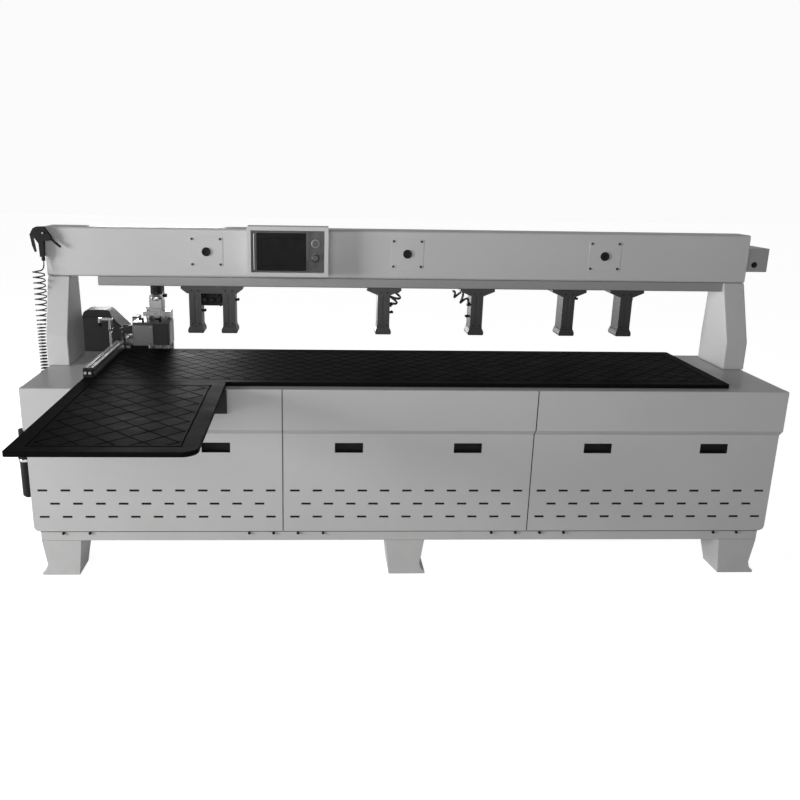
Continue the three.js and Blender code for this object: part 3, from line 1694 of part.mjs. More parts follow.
['left', 'middle', 'right'].forEach((place, index) => {
  piece(`front_cover_${place}`, frontCover(index), paint);
});
for (const [place, side] of Object.entries(sides)) piece(`side_cover_${place}`, sidePanel(side), paint);
const rearEdge = coverHalf - sheet - seat;
const rearCentre = (rearEdge + cover.seam / 2) / 2;
piece('rear_cover_left', cutBy(rearPanel(-rearEdge, -cover.seam / 2), rearVents(-rearCentre)), paint);
const doorCover = rearPanel(cover.seam / 2, rearEdge).subtract(doorOpening());
piece('rear_cover_right', joined([doorCover, ...hingePlaces.map(coverKnuckles)]), paint);
piece('electrical_door', electricalDoor(), paint);
piece('electrical_panel', electricalPanel(), steel);
piece('deck', deckPlate(), paint);

piece('table_board', tableBoard(), phenolic);
piece('extension_board', extensionBoard(), phenolic);
piece('extension_frame', extensionFrame(), blackSteel);
piece('side_fence', sideFence(), aluminium);

for (const [place, side] of Object.entries(sides)) {
  piece(`column_${place}`, bridgeColumn(side * columnCentre), paint);
}
piece('beam', crossBeam(), paint);
piece('press_rail', hangerRail(), paint);
piece('press_body_pair', pressBody(pressPlaces.slice(0, 2)), anodised);
pressPlaces.slice(2).forEach((x, k) => piece(`press_body_${k + 3}`, pressBody([x]), anodised));
pressPlaces.forEach((x, k) => piece(`press_foot_${k + 1}`, pressFoot(x), anodised));

piece('control_box', controlBox(), paint);
piece('touch_screen', touchScreen(), glass);
piece('start_button', pushButton(), signal);
piece('emergency_stop', emergencyStop(), signal);
piece('cable_trunk', cableTrunk(), paint);

piece('axis_girder', axisGirder(), paint);
piece('gear_rack', gearRack(), steel);
piece('drive_pinion', drivePinion(), steel);
piece('carriage_plate', carriagePlate(), aluminium);
piece('drive_motor', driveMotor(), blackSteel);
piece('motor_hood', motorHood(), blackSteel);
piece('lift_column', liftColumn(), steel);
piece('lift_screw', liftScrew(), steel);
piece('lift_motor', liftMotorUnit(), chrome);
piece('lift_housing', liftHousing(), aluminium);
piece('drill_unit', drillUnit(), steel);
piece('drill_chuck', drillChuck(), steel);

piece('stop_pin', stopPin(), chrome);
piece('air_filter', airFilter(), plastic);
piece('regulator_knob', regulatorKnob(), plastic);
piece('air_hose', airHose(), rubber);
piece('blow_gun', blowGun(), plastic);
piece('gun_trigger', gunTrigger(), plastic);

// The origin is the middle of the box round all but the hose, on the floor.
const bounds = new THREE.Box3();
for (const mesh of pieces.children) {
  if (mesh.name !== 'air_hose') bounds.expandByObject(mesh);
}
const middle = bounds.getCenter(new THREE.Vector3());
pieces.position.set(-middle.x, -middle.y, -bounds.min.z);

export default machine;
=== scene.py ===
import math
import bpy
from mathutils import Matrix, Vector
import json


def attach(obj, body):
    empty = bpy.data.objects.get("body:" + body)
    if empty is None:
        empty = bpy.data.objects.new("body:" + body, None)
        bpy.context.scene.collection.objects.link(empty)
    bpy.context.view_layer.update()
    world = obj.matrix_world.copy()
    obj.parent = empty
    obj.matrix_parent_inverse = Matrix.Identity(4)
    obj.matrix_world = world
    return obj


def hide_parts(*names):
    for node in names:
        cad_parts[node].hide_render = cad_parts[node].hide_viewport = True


# Side hole drilling machine. The camera, finishes, CAD nodes and hose come first, then the detailed
# pieces from the boards to the rear, and the floor and lamps last.
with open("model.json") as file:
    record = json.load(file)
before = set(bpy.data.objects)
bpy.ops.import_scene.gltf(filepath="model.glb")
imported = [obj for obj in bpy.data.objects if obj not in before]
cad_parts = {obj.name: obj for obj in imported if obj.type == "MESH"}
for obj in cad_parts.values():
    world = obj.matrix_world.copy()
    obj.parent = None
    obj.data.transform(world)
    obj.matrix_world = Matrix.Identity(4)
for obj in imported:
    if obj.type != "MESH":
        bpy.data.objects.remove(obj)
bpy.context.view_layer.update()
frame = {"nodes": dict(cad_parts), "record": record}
nodes = frame["nodes"]
bodyOf = {name: body for body, names in frame["record"]["behaviour"]["bodies"].items() for name in names}
slotOf = {entry["node"]: entry["material_slot"] for entry in frame["record"]["subparts"]}
print("frame loaded:", len(nodes), "nodes")


# Camera at the photograph's angle
camera = {
    "place": (-0.4925, -3.5462, 1.8172),
    "yaw": 2.3996,
    "pitch": -15.7044,
    "roll": 0.9182,
    "lens": 36.761,
    "sensor": 36,
    "shift": (0.0680, 0.0012),
    "farthest": 60,
}


def addCamera():
    yaw, pitch, roll = (math.radians(camera[turn]) for turn in ("yaw", "pitch", "roll"))
    ahead = Vector((math.sin(yaw) * math.cos(pitch), math.cos(yaw) * math.cos(pitch), math.sin(pitch)))
    level = Vector((math.cos(yaw), -math.sin(yaw), 0))
    upright = level.cross(ahead)
    right = level * math.cos(roll) + upright * math.sin(roll)
    up = upright * math.cos(roll) - level * math.sin(roll)
    bpy.ops.object.camera_add(location=camera["place"])
    made = bpy.context.object
    made.name = "camera"
    made.matrix_world = Matrix((right, up, -ahead)).transposed().to_4x4()
    made.location = camera["place"]
    made.data.lens = camera["lens"]
    made.data.sensor_width = camera["sensor"]
    made.data.shift_x, made.data.shift_y = camera["shift"]
    made.data.clip_end = camera["farthest"]
    bpy.context.scene.camera = made


addCamera()
print("camera placed")


# Finishes

class Wire:  # a socket that can stand in a sum
    def __init__(self, finish, socket):
        self.finish = finish
        self.socket = socket

    def sum(self, operation, first, second):
        return self.finish.node("Math", {"operation": operation}, {0: first, 1: second})

    def __add__(self, other):
        return self.sum("ADD", self, other)

    def __radd__(self, other):
        return self.sum("ADD", other, self)

    def __sub__(self, other):
        return self.sum("SUBTRACT", self, other)

    def __rsub__(self, other):
        return self.sum("SUBTRACT", other, self)

    def __mul__(self, other):
        return self.sum("MULTIPLY", self, other)

    def __rmul__(self, other):
        return self.sum("MULTIPLY", other, self)


class Finish:  # the nodes of one material, or of the world
    def __init__(self, owner):
        self.owner = owner
        owner.use_nodes = True
        self.tree = owner.node_tree
        self.tree.nodes.clear()

    def node(self, kind, settings, sockets, output=0):
        made = self.tree.nodes.new("ShaderNode" + kind)
        for setting, value in settings.items():
            setattr(made, setting, value)
        for socket, value in sockets.items():
            if isinstance(value, Wire):
                self.tree.links.new(value.socket, made.inputs[socket])
            else:
                made.inputs[socket].default_value = value
        return Wire(self, made.outputs[output]) if len(made.outputs) else made

    def place(self):
        return self.node("TexCoord", {}, {}, "Object")

    def stretched(self, scale):
        return self.node("Mapping", {}, {"Vector": self.place(), "Scale": scale}, "Vector")

    def noise(self, scale, detail, vector=None, roughness=0.55):
        sockets = {"Vector": vector or self.place(), "Scale": scale, "Detail": detail}
        return self.node("TexNoise", {}, {**sockets, "Roughness": roughness}, 0)

    def blend(self, share, first, second):  # two colours
        return self.node("Mix", {"data_type": "RGBA"}, {0: share, 6: first, 7: second}, 2)

    def band(self, value, low=0.3, high=0.7, start=0.0, end=1.0):  # low to high becomes start to end
        sockets = {"Value": value, "From Min": low, "From Max": high, "To Min": start, "To Max": end}
        return self.node("MapRange", {"clamp": True}, sockets, "Result")

    def bump(self, height, distance, strength):
        sockets = {"Height": height, "Distance": distance, "Strength": strength}
        return self.node("Bump", {}, sockets, "Normal")

    def coat(self, sockets):  # the surface itself
        self.node("OutputMaterial", {}, {"Surface": self.node("BsdfPrincipled", {}, sockets)})
        return self.owner


def newFinish(name):
    return Finish(bpy.data.materials.new(name))


def grey(tone, warmth=0.0):
    return (tone * (1 + warmth), tone, tone * (1 - warmth), 1)


def toned(tone, values):
    share, warmth = values
    return grey(tone * share, warmth)


def mottled(finish, noise, tone, tones):  # drifts between two tones
    return finish.blend(finish.band(noise), *(toned(tone, values) for values in tones))


# In the finishes below a noise is its scale and detail, a tone is a share of the colour and its warmth,
# and a bump is its height in metres and its strength.
paint = {
    "clouds": (1.3, 4), "peel": (260, 2), "smudges": (9, 5),
    "tones": ((0.96, 0.003), (1.03, 0.003)),
    "dustHeight": (0.02, 0.35), "dustBand": (0.35, 0.7), "dustShare": 0.25, "dustTone": (0.62, 0.03),
    "smudgeBand": (0.3, 0.75), "smudgeGloss": (-0.05, 0.1), "peelBump": (0.0002, 0.35),
    "lacquerRoughness": 0.18,
}


def paintFinish(name, tone, roughness=0.38, shine=0.5, lacquer=0.25):  # powder coat with faint orange peel
    finish = newFinish(name)
    smudges = finish.noise(*paint["smudges"])
    height = finish.node("SeparateXYZ", {}, {"Vector": finish.place()}, "Z")
    dust = (1 - finish.band(height, *paint["dustHeight"])) * finish.band(smudges, *paint["dustBand"])
    colour = mottled(finish, finish.noise(*paint["clouds"]), tone, paint["tones"])
    colour = finish.blend(dust * paint["dustShare"], colour, toned(tone, paint["dustTone"]))
    smooth, rough = (roughness + change for change in paint["smudgeGloss"])
    return finish.coat({
        "Base Color": colour,
        "Roughness": finish.band(smudges, *paint["smudgeBand"], smooth, rough),
        "Normal": finish.bump(finish.noise(*paint["peel"]), *paint["peelBump"]),
        "Specular IOR Level": shine,
        "Coat Weight": lacquer,
        "Coat Roughness": paint["lacquerRoughness"],
    })


laminate = {
    "grain": (38, 5), "grainStretch": (1, 9, 9), "fine": (900, 2),
    "scuffs": (6, 6), "scuffStretch": (1, 2.4, 1), "scuffRoughness": 0.7, "scuffBand": (0.52, 0.78),
    "scratches": (55, 3), "scratchStretch": (0.12, 3.2, 1), "scratchBand": (0.66, 0.74),
    "scuffWear": 0.6, "scratchWear": 0.35, "wearShare": 0.25, "wearTone": (3.0, 0.01),
    "tones": ((0.8, 0), (1.25, 0)), "scratchGloss": 0.3,
    "roughBand": (0.45, 0.95, 0.40, 0.60), "bump": (0.0003, 0.3), "shine": 0.008,
}


def boardFinish(name, tone):  # film faced plywood: a fine grain, scuffed paler where panels slide
    finish = newFinish(name)
    grain = finish.noise(*laminate["grain"], finish.stretched(laminate["grainStretch"]))
    scuffed = finish.stretched(laminate["scuffStretch"])
    scuffs = finish.noise(*laminate["scuffs"], scuffed, laminate["scuffRoughness"])
    scratches = finish.noise(*laminate["scratches"], finish.stretched(laminate["scratchStretch"]))
    worn = (finish.band(scuffs, *laminate["scuffBand"]) * laminate["scuffWear"]
            + finish.band(scratches, *laminate["scratchBand"]) * laminate["scratchWear"])
    colour = mottled(finish, grain, tone, laminate["tones"])
    colour = finish.blend(worn * laminate["wearShare"], colour, toned(tone, laminate["wearTone"]))
    return finish.coat({
        "Base Color": colour,
        "Roughness": finish.band(scuffs + scratches * laminate["scratchGloss"], *laminate["roughBand"]),
        "Normal": finish.bump(finish.noise(*laminate["fine"]) + grain, *laminate["bump"]),
        "Specular IOR Level": laminate["shine"],
    })


metal = {
    "clouds": (5, 4), "tones": ((0.92, 0), (1.06, 0)), "grainDetail": 4,
    "stains": (22, 5), "stainBand": (0.55, 0.8), "stainShare": 0.3, "stainTone": (0.6, 0.02),
    "grainBand": (0.25, 0.75), "smoothest": 0.8, "roughest": 1.25, "stainRoughness": 0.12,
    "grainStrength": 0.5,
}


def metalFinish(name, tone, roughness, scale, stretch, metallic=1.0, depth=0.00008):  # ground or extruded
    finish = newFinish(name)
    grain = finish.noise(scale, metal["grainDetail"], finish.stretched(stretch))
    stains = finish.band(finish.noise(*metal["stains"]), *metal["stainBand"])
    colour = mottled(finish, finish.noise(*metal["clouds"]), tone, metal["tones"])
    colour = finish.blend(stains * metal["stainShare"], colour, toned(tone, metal["stainTone"]))
    smooth, rough = roughness * metal["smoothest"], roughness * metal["roughest"]
    roughened = finish.band(grain, *metal["grainBand"], smooth, rough) + stains * metal["stainRoughness"]
    return finish.coat({
        "Base Color": colour,
        "Metallic": metallic,
        "Roughness": roughened,
        "Normal": finish.bump(grain, depth, metal["grainStrength"]),
    })


plastic = {
    "wear": (30, 5), "wearBand": (0.4, 0.75), "wornTone": (1.35, 0.01), "roughBand": (0.35, 0.7),
    "wornRoughness": 0.14, "sparkDetail": 3, "sparkBump": (0.00012, 0.4),
}


def plasticFinish(name, tone, roughness=0.42, spark=420, shine=0.5):  # moulded, with a spark-eroded grain
    finish = newFinish(name)
    wear = finish.noise(*plastic["wear"])
    worn = finish.band(wear, *plastic["wearBand"])
    rough = roughness + plastic["wornRoughness"]
    return finish.coat({
        "Base Color": finish.blend(worn, grey(tone), toned(tone, plastic["wornTone"])),
        "Roughness": finish.band(wear, *plastic["roughBand"], roughness, rough),
        "Normal": finish.bump(finish.noise(spark, plastic["sparkDetail"]), *plastic["sparkBump"]),
        "Specular IOR Level": shine,
    })


rubber = {
    "clouds": (60, 3), "tones": ((0.8, 0), (1.3, 0)), "roughness": (0.22, 0.34),
    "bump": (0.0002, 0.2), "skin": 0.3, "skinRoughness": 0.12,
}


def hoseFinish(name, tone):  # extruded polyurethane, slightly cloudy
    finish = newFinish(name)
    clouds = finish.noise(*rubber["clouds"])
    return finish.coat({
        "Base Color": mottled(finish, clouds, tone, rubber["tones"]),
        "Roughness": finish.band(clouds, 0.3, 0.7, *rubber["roughness"]),
        "Normal": finish.bump(clouds, *rubber["bump"]),
        "Coat Weight": rubber["skin"],
        "Coat Roughness": rubber["skinRoughness"],
    })


finishes = {
    "cabinet_paint": paintFinish("cabinetPaint", 0.53),
    # the cabinet paint made darker for the press rail: painted shade, the rail's own paint is the cabinet's
    "rail_paint": paintFinish("railPaint", 0.28),
    "zinc_plate": metalFinish("zincPlate", 0.55, 0.42, 70, (1, 1, 1)),
    "board_laminate": boardFinish("boardLaminate", 0.006),
    "black_steel": paintFinish("blackSteel", 0.010, 0.46, 0.25, 0.08),
    "motor_black": plasticFinish("motorBlack", 0.02, 0.38),
    "dark_anodised": metalFinish("darkAnodised", 0.055, 0.36, 120, (1, 1, 0.05), 0.75),
    "grey_anodised": metalFinish("greyAnodised", 0.28, 0.36, 120, (1, 1, 0.05), 0.85),
    "bare_aluminium": metalFinish("bareAluminium", 0.48, 0.34, 160, (0.05, 1, 1)),
    "ground_steel": metalFinish("groundSteel", 0.55, 0.24, 180, (1, 1, 0.08)),
    "polished_metal": metalFinish("polishedMetal", 0.78, 0.12, 200, (1, 1, 0.1), 1.0, 0.00003),
    "screen_plastic": plasticFinish("screenPlastic", 0.004, 0.30, shine=0.09),
    "button_plastic": plasticFinish("buttonPlastic", 0.045, 0.3, 200),
    "black_plastic": plasticFinish("blackPlastic", 0.007, 0.48, shine=0.2),
    "hose_rubber": hoseFinish("hoseRubber", 0.02),
}
print("finishes made:", len(finishes))


# Small modelling steps that every piece shares
toFront, toRear, toTop, toBottom = (0, -1, 0), (0, 1, 0), (0, 0, 1), (0, 0, -1)
toLeft, toRight = (-1, 0, 0), (1, 0, 0)
axisTurns = {"X": (0, math.pi / 2, 0), "Y": (math.pi / 2, 0, 0), "Z": (0, 0, 0)}
axisWays = {"X": toRight, "Y": toRear, "Z": toTop}
near = 0.001  # what lies this close to a plane counts as on it
aligned = 0.9  # a direction that matches this well counts as the same


def deselect():
    bpy.ops.object.select_all(action="DESELECT")


def activate(piece):
    deselect()
    piece.select_set(True)
    bpy.context.view_layer.objects.active = piece


def edit(piece, kind, test):  # edit mode, with the faces or edges whose middle and direction pass the test
    activate(piece)
    bpy.ops.object.mode_set(mode="EDIT")
    bpy.ops.mesh.select_mode(type=kind)
    bpy.ops.mesh.select_all(action="DESELECT")
    bpy.ops.object.mode_set(mode="OBJECT")
    data = piece.data
    if kind == "FACE":
        for face in data.polygons:
            face.select = test(face.center, face.normal)
    else:
        for edge in data.edges:
            ends = [data.vertices[corner].co for corner in edge.vertices]
            edge.select = test((ends[0] + ends[1]) / 2, (ends[1] - ends[0]).normalized())
    bpy.ops.object.mode_set(mode="EDIT")


def leaveEdit():
    bpy.ops.object.mode_set(mode="OBJECT")


def looking(way):  # test: faces that look that way
    return lambda centre, normal: normal.dot(Vector(way)) > aligned


def along(way):  # test: faces or edges on that axis, whichever way they point
    return lambda centre, direction: abs(direction.dot(Vector(way))) > aligned


def rounded(piece, test, width, steps=1):  # bevels the chosen edges
    edit(piece, "EDGE", test)
    bpy.ops.mesh.bevel(offset=width, segments=steps)
    leaveEdit()
    return piece


def framed(piece, test, *insets):  # insets the chosen faces, each time by a width and a depth
    edit(piece, "FACE", test)
    for width, depth in insets:
        bpy.ops.mesh.inset(thickness=width, depth=depth)
    leaveEdit()
    return piece


def extruded(piece, test, *moves, rim=0):  # insets the chosen faces, then draws them out
    edit(piece, "FACE", test)
    if rim:
        bpy.ops.mesh.inset(thickness=rim)
    for move in moves:
        bpy.ops.mesh.extrude_region_move(TRANSFORM_OT_translate={"value": move})
    leaveEdit()
    return piece


def applyPlace(piece):
    activate(piece)
    bpy.ops.object.transform_apply(location=True, rotation=True, scale=True)
    return piece


def applyModifier(piece, modifier):
    bpy.ops.object.modifier_apply(modifier=modifier.name)
    return piece


def addBar(middle, size):
    bpy.ops.mesh.primitive_cube_add(size=1, location=middle, scale=size)
    return applyPlace(bpy.context.object)


def addBlock(low, high):
    return addBar([(a + b) / 2 for a, b in zip(low, high)], [b - a for a, b in zip(low, high)])


def addRod(middle, radius, length, axis="Z", sides=24):
    bpy.ops.mesh.primitive_cylinder_add(
        vertices=sides, radius=radius, depth=length, location=middle, rotation=axisTurns[axis])
    return applyPlace(bpy.context.object)


def addRing(middle, outer, inner, length, axis="Z", sides=32):  # its round faces are inset and bridged
    ring = addRod(middle, outer, length, axis, sides)
    edit(ring, "FACE", along(axisWays[axis]))
    bpy.ops.mesh.inset(thickness=outer - inner)
    bpy.ops.mesh.bridge_edge_loops()
    leaveEdit()
    return ring


def addObject(name, data):
    made = bpy.data.objects.new(name, data)
    bpy.context.scene.collection.objects.link(made)
    return made


def addCurve(name, points, radius, resolution):  # a round bar bent along points
    data = bpy.data.curves.new(name, "CURVE")
    data.dimensions = "3D"
    data.bevel_depth = radius
    data.bevel_resolution = resolution
    data.use_fill_caps = True
    spline = data.splines.new("POLY")
    spline.points.add(len(points) - 1)
    for point, place in zip(spline.points, points):
        point.co = (*place, 1)
    return addObject(name, data)


def helix(start, end, radius, turns, steps=14):  # points of a small coil that swells out of its two ends
    start, end = Vector(start), Vector(end)
    ahead = (end - start).normalized()
    side = ahead.orthogonal().normalized()
    other = ahead.cross(side)
    count = int(turns * steps)
    points = []
    for k in range(count + 1):
        angle = math.tau * turns * k / count
        swell = radius * min(1, 3 * k / count, 3 * (count - k) / count)
        out = side * math.cos(angle) + other * math.sin(angle)
        points.append(start.lerp(end, k / count) + swell * out)
    return points


def bevelled(piece, width, segments=2, angle=30):
    activate(piece)
    edges = piece.modifiers.new("edges", "BEVEL")
    edges.width = width
    edges.segments = segments
    edges.limit_method = "ANGLE"
    edges.angle_limit = math.radians(angle)
    return applyModifier(piece, edges)


def addParts(place, rows):  # how each is added, its middle from a place, its sizes and its edge
    made = []
    for add, middle, *sizes, edge in rows:
        made.append(bevelled(add([a + b for a, b in zip(place, middle)], *sizes), *edge))
    return made


def sliced(piece, place, way):  # keeps what lies behind the plane and closes it again
    edit(piece, "FACE", lambda centre, normal: True)
    bpy.ops.mesh.bisect(plane_co=place, plane_no=way, use_fill=True, clear_outer=True)
    leaveEdit()
    return piece


def groove(piece, low, high, depth):  # a ring groove round an upright piece
    for height in (low, high):
        edit(piece, "FACE", lambda centre, normal: True)
        bpy.ops.mesh.bisect(plane_co=(0, 0, height), plane_no=toTop)
        leaveEdit()
    width = min(depth, (high - low) / 3)
    framed(piece, lambda centre, normal: abs(normal.z) < 0.5 and low < centre.z < high, (width, -depth))


def joinPieces(parts):
    deselect()
    for part in parts:
        part.select_set(True)
    bpy.context.view_layer.objects.active = parts[0]
    if len(parts) > 1:
        bpy.ops.object.join()
    return bpy.context.object


def finished(made, name, slot, body="machine_base", replaced=(), angle=35):  # a piece or a list of parts
    piece = applyPlace(joinPieces(made) if isinstance(made, list) else made)
    bpy.ops.object.shade_smooth_by_angle(angle=math.radians(angle))
    weights = piece.modifiers.new("weights", "WEIGHTED_NORMAL")
    weights.keep_sharp = True
    applyModifier(piece, weights)
    piece.name = name
    piece.data.name = name
    piece.data.materials.clear()
    piece.data.materials.append(finishes[slot])
    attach(piece, body)
    if replaced:
        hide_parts(*replaced)


def copies(model, places):  # places: where the model's origin goes and where its +Z looks
    made = []
    for place, way in places:
        copy = addObject(model.name + "Copy", model.data.copy())
        copy.location = place
        copy.rotation_mode = "QUATERNION"
        copy.rotation_quaternion = Vector(way).to_track_quat("Z", "Y")
        made.append(applyPlace(copy))
    return made


def grid(xs, ys, zs, way):  # places at every x, y and z that look one way
    return [((x, y, z), way) for x in xs for y in ys for z in zs]


def camelName(name):
    first, *rest = name.split("_")
    return first + "".join(word.capitalize() for word in rest)


mergeDistance = 0.00001
flatAngle = 0.6  # degrees: CAD triangles that bend less become one face


def nodeCopy(name):  # a CAD node's shape with its triangles merged into flat faces
    copy = addObject(camelName(name), nodes[name].data.copy())
    activate(copy)
    if copy.data.has_custom_normals:
        bpy.ops.mesh.customdata_custom_splitnormals_clear()
    bpy.ops.object.mode_set(mode="EDIT")
    bpy.ops.mesh.select_all(action="SELECT")
    bpy.ops.mesh.remove_doubles(threshold=mergeDistance)
    bpy.ops.mesh.dissolve_limited(angle_limit=math.radians(flatAngle))
    leaveEdit()
    return copy


# The real edge radius of the rigid CAD nodes: width of the rounding in metres and its steps
edgeRounding = {
    (0.0003, 1): ["gear_rack"],
    (0.0004, 1): ["drive_pinion"],
    (0.0005, 1): ["rear_cover_left", "rear_cover_right"],
    (0.0006, 2): ["front_cover_left", "front_cover_middle", "front_cover_right", "electrical_door",
                  "side_fence", "drill_chuck"],
    (0.0007, 2): ["side_cover_left", "side_cover_right"],
    (0.0009, 2): ["electrical_panel"],
    (0.001, 2): ["cable_trunk", "stop_pin"],
    (0.0012, 2): ["deck"],
    (0.0015, 2): ["press_body_pair", "carriage_plate", "lift_column", "lift_screw", "drill_unit",
                  "air_filter", *("press_body_" + number for number in "3456"),
                  *("press_foot_" + number for number in "123456")],
    (0.0015, 3): ["control_box", "start_button"],
    (0.002, 2): ["leg_frame_left", "leg_frame_middle", "leg_frame_right", "beam", "press_rail",
                 "drive_motor"],
    (0.002, 3): ["touch_screen", "emergency_stop"],
    (0.0025, 2): ["extension_frame"],
    (0.004, 3): ["base_rail_front", "base_rail_rear"],
    (0.006, 3): ["column_left", "column_right"],
}


def dressNodes():
    for name, node in nodes.items():
        node.data.materials.clear()
        node.data.materials.append(finishes[slotOf[name]])
    for rounding, names in edgeRounding.items():
        for name in names:
            piece = bevelled(nodeCopy(name), *rounding)
            finished(piece, camelName(name), slotOf[name], bodyOf[name], (name,))
    # the press rail takes the darker copy of the cabinet paint as painted shade
    bpy.data.objects["pressRail"].data.materials[0] = finishes["rail_paint"]
    # the upright frames inside the cabinet are painted black so that the vents in front of them show dark:
    # painted shade
    for side in ("left", "middle", "right"):
        nodes["upright_frame_" + side].data.materials[0] = finishes["black_steel"]


dressNodes()
print("CAD nodes dressed")


# Recoil hose between the air unit and the blow gun
hose = {
    "middle": (-1.7944, 0.405),
    "bottom": 0.690,
    "top": 1.3877,
    "coilRadius": 0.02675,
    "tubeRadius": 0.00325,
    "tubeRoundness": 3,
    "turns": 33,
    "straight": 0.012,  # upright stretch at each end
    "bend": 0.050,  # length over which the end leans into the coil
    "pointsPerTurn": 16,
    "loosePart": 0.34,  # upper share whose turns hang further apart
    "looseFade": 0.1,
    "looseness": 1.7,
    "unevenness": 0.3,
    "waves": 160,
}


def hoseCentreline():
    radius = hose["coilRadius"]
    step = math.tau * radius / hose["pointsPerTurn"]
    bendSteps = round(hose["bend"] / step)
    tilts = [math.pi / 2 * (1 - (k + 0.5) / bendSteps) for k in range(bendSteps)]
    lead = [(0.0, hose["straight"])] + [(step * math.cos(t) / radius, step * math.sin(t)) for t in tilts]
    leadTurn, leadHeight = (sum(column) for column in zip(*lead))
    sweep = math.tau * (hose["turns"] + 0.25) - 2 * leadTurn
    count = round(sweep / (math.tau / hose["pointsPerTurn"]))
    weights = []
    for k in range(count):
        share = (k + 0.5) / count
        loose = min(max((share - 1 + hose["loosePart"]) / hose["looseFade"], 0), 1)
        uneven = hose["unevenness"] * loose * math.sin(share * hose["waves"])
        weights.append(1 + (hose["looseness"] - 1) * loose + uneven)
    rise = (hose["top"] - hose["bottom"] - 2 * leadHeight) / sum(weights)
    steps = lead + [(sweep / count, weight * rise) for weight in weights] + lead[::-1]
    angle, height = -math.pi / 2, hose["bottom"]
    x, y = hose["middle"]
    line = [(x + radius * math.cos(angle), y + radius * math.sin(angle), height)]
    for turn, up in steps:
        angle += turn
        height += up
        line.append((x + radius * math.cos(angle), y + radius * math.sin(angle), height))
    return line


def addHose():
    line = hoseCentreline()
    piece = addCurve("airHose", line, hose["tubeRadius"], hose["tubeRoundness"])
    piece.data.materials.append(finishes["hose_rubber"])
    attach(piece, "machine_base")
    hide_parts("air_hose")


addHose()
print("hose coiled")


# Boards: a rim, a border groove and a lattice of crossing grooves
tableBoard = {
    "left": -1.5081, "right": 1.3859, "front": -0.055, "rear": 0.637, "low": 0.9003, "high": 0.9183,
    "rim": 0.050, "borderWidth": 0.006, "borderDepth": 0.003, "latticeInset": 0.006,
    "pitch": 0.0640, "grooveWidth": 0.0045, "grooveDepth": 0.0022, "corner": 0.012, "frontRight": 0.012,
}
extensionBoard = {
    "left": -1.5081, "right": -0.8731, "front": -0.986, "rear": -0.0553, "low": 0.9003, "high": 0.9183,
    "rim": 0.055, "borderWidth": 0.008, "borderDepth": 0.003, "latticeInset": 0.008,
    "pitch": 0.0850, "grooveWidth": 0.006, "grooveDepth": 0.0025, "corner": 0.012, "frontRight": 0.055,
}
boardCut = {"slack": 0.0005, "cornerSteps": 8, "edge": (0.0006, 1, 50)}


def insideField(board, centre, margin):
    inset = board["rim"] + board["borderWidth"] + margin
    return (board["left"] + inset < centre.x < board["right"] - inset
            and board["front"] + inset < centre.y < board["rear"] - inset)


def cutLattice(piece, board):  # both edges of every groove, cut into the field alone
    edit(piece, "FACE", lambda centre, normal: normal.z > aligned
         and insideField(board, centre, boardCut["slack"]))
    bpy.ops.mesh.inset(thickness=board["latticeInset"])
    bpy.ops.mesh.hide(unselected=True)
    left, right, front, rear = (board[side] for side in ("left", "right", "front", "rear"))
    middle = Vector(((left + right) / 2, (front + rear) / 2, board["high"]))
    half = (right - left + rear - front) / 2 / math.sqrt(2)
    outermost = int(half / board["pitch"])
    for slope in (1, -1):
        across = Vector((1, slope, 0)).normalized()
        for line in range(-outermost, outermost + 1):
            for side in (-0.5, 0.5):
                place = middle + across * (line * board["pitch"] + side * board["grooveWidth"])
                bpy.ops.mesh.select_all(action="SELECT")
                bpy.ops.mesh.bisect(plane_co=place, plane_no=across)
    bpy.ops.mesh.reveal(select=False)
    leaveEdit()
    return middle


def onGroove(board, middle, centre):
    for slope in (1, -1):
        reach = (centre - middle).dot(Vector((1, slope, 0)).normalized())
        if abs(reach - board["pitch"] * round(reach / board["pitch"])) < board["grooveWidth"] / 2:
            return True
    return False


def makeBoard(board, name, node):
    low = (board["left"], board["front"], board["low"])
    high = (board["right"], board["rear"], board["high"])
    piece = framed(addBlock(low, high), looking(toTop), (board["rim"], 0), (board["borderWidth"], 0))
    inner = board["rim"] + board["borderWidth"] / 2

    def onBorder(centre, normal):
        gaps = (centre.x - board["left"], board["right"] - centre.x,
                centre.y - board["front"], board["rear"] - centre.y)
        return normal.z > aligned and abs(min(gaps) - inner) < board["borderWidth"] / 2

    extruded(piece, onBorder, (0, 0, -board["borderDepth"]))
    middle = cutLattice(piece, board)

    def inLattice(centre, normal):
        onTop = normal.z > aligned and centre.z > board["high"] - boardCut["slack"]
        inField = insideField(board, centre, board["latticeInset"])
        return onTop and inField and onGroove(board, middle, centre)

    extruded(piece, inLattice, (0, 0, -board["grooveDepth"]))

    def isCorner(centre, direction, frontRight):
        atEnd = min(abs(centre.x - board["left"]), abs(centre.x - board["right"])) < near
        atSide = min(abs(centre.y - board["front"]), abs(centre.y - board["rear"])) < near
        isFrontRight = centre.x > board["right"] - near and centre.y < board["front"] + near
        return abs(direction.z) > aligned and atEnd and atSide and isFrontRight == frontRight

    steps = boardCut["cornerSteps"]
    rounded(piece, lambda centre, direction: isCorner(centre, direction, False), board["corner"], steps)
    rounded(piece, lambda centre, direction: isCorner(centre, direction, True), board["frontRight"], steps)
    finished(bevelled(piece, *boardCut["edge"]), name, "board_laminate", "machine_base", (node,))


makeBoard(tableBoard, "tableBoard", "table_board")
makeBoard(extensionBoard, "extensionBoard", "extension_board")
print("boards carved")


# Screws and bolts, modelled once each with the head on +Z: radius and height, then shares of the two
fastener = {
    "cap": (0.0065, 0.008), "button": (0.006, 0.0035), "small": (0.004, 0.003), "hex": (0.010, 0.010),
    "sides": 16, "chamfer": 0.12, "socketRim": 0.38, "socketDepth": 0.5,
    "washer": (1.5, 0.6), "washerHeight": 0.2, "washerSides": 20, "hexEdge": 0.08,
}


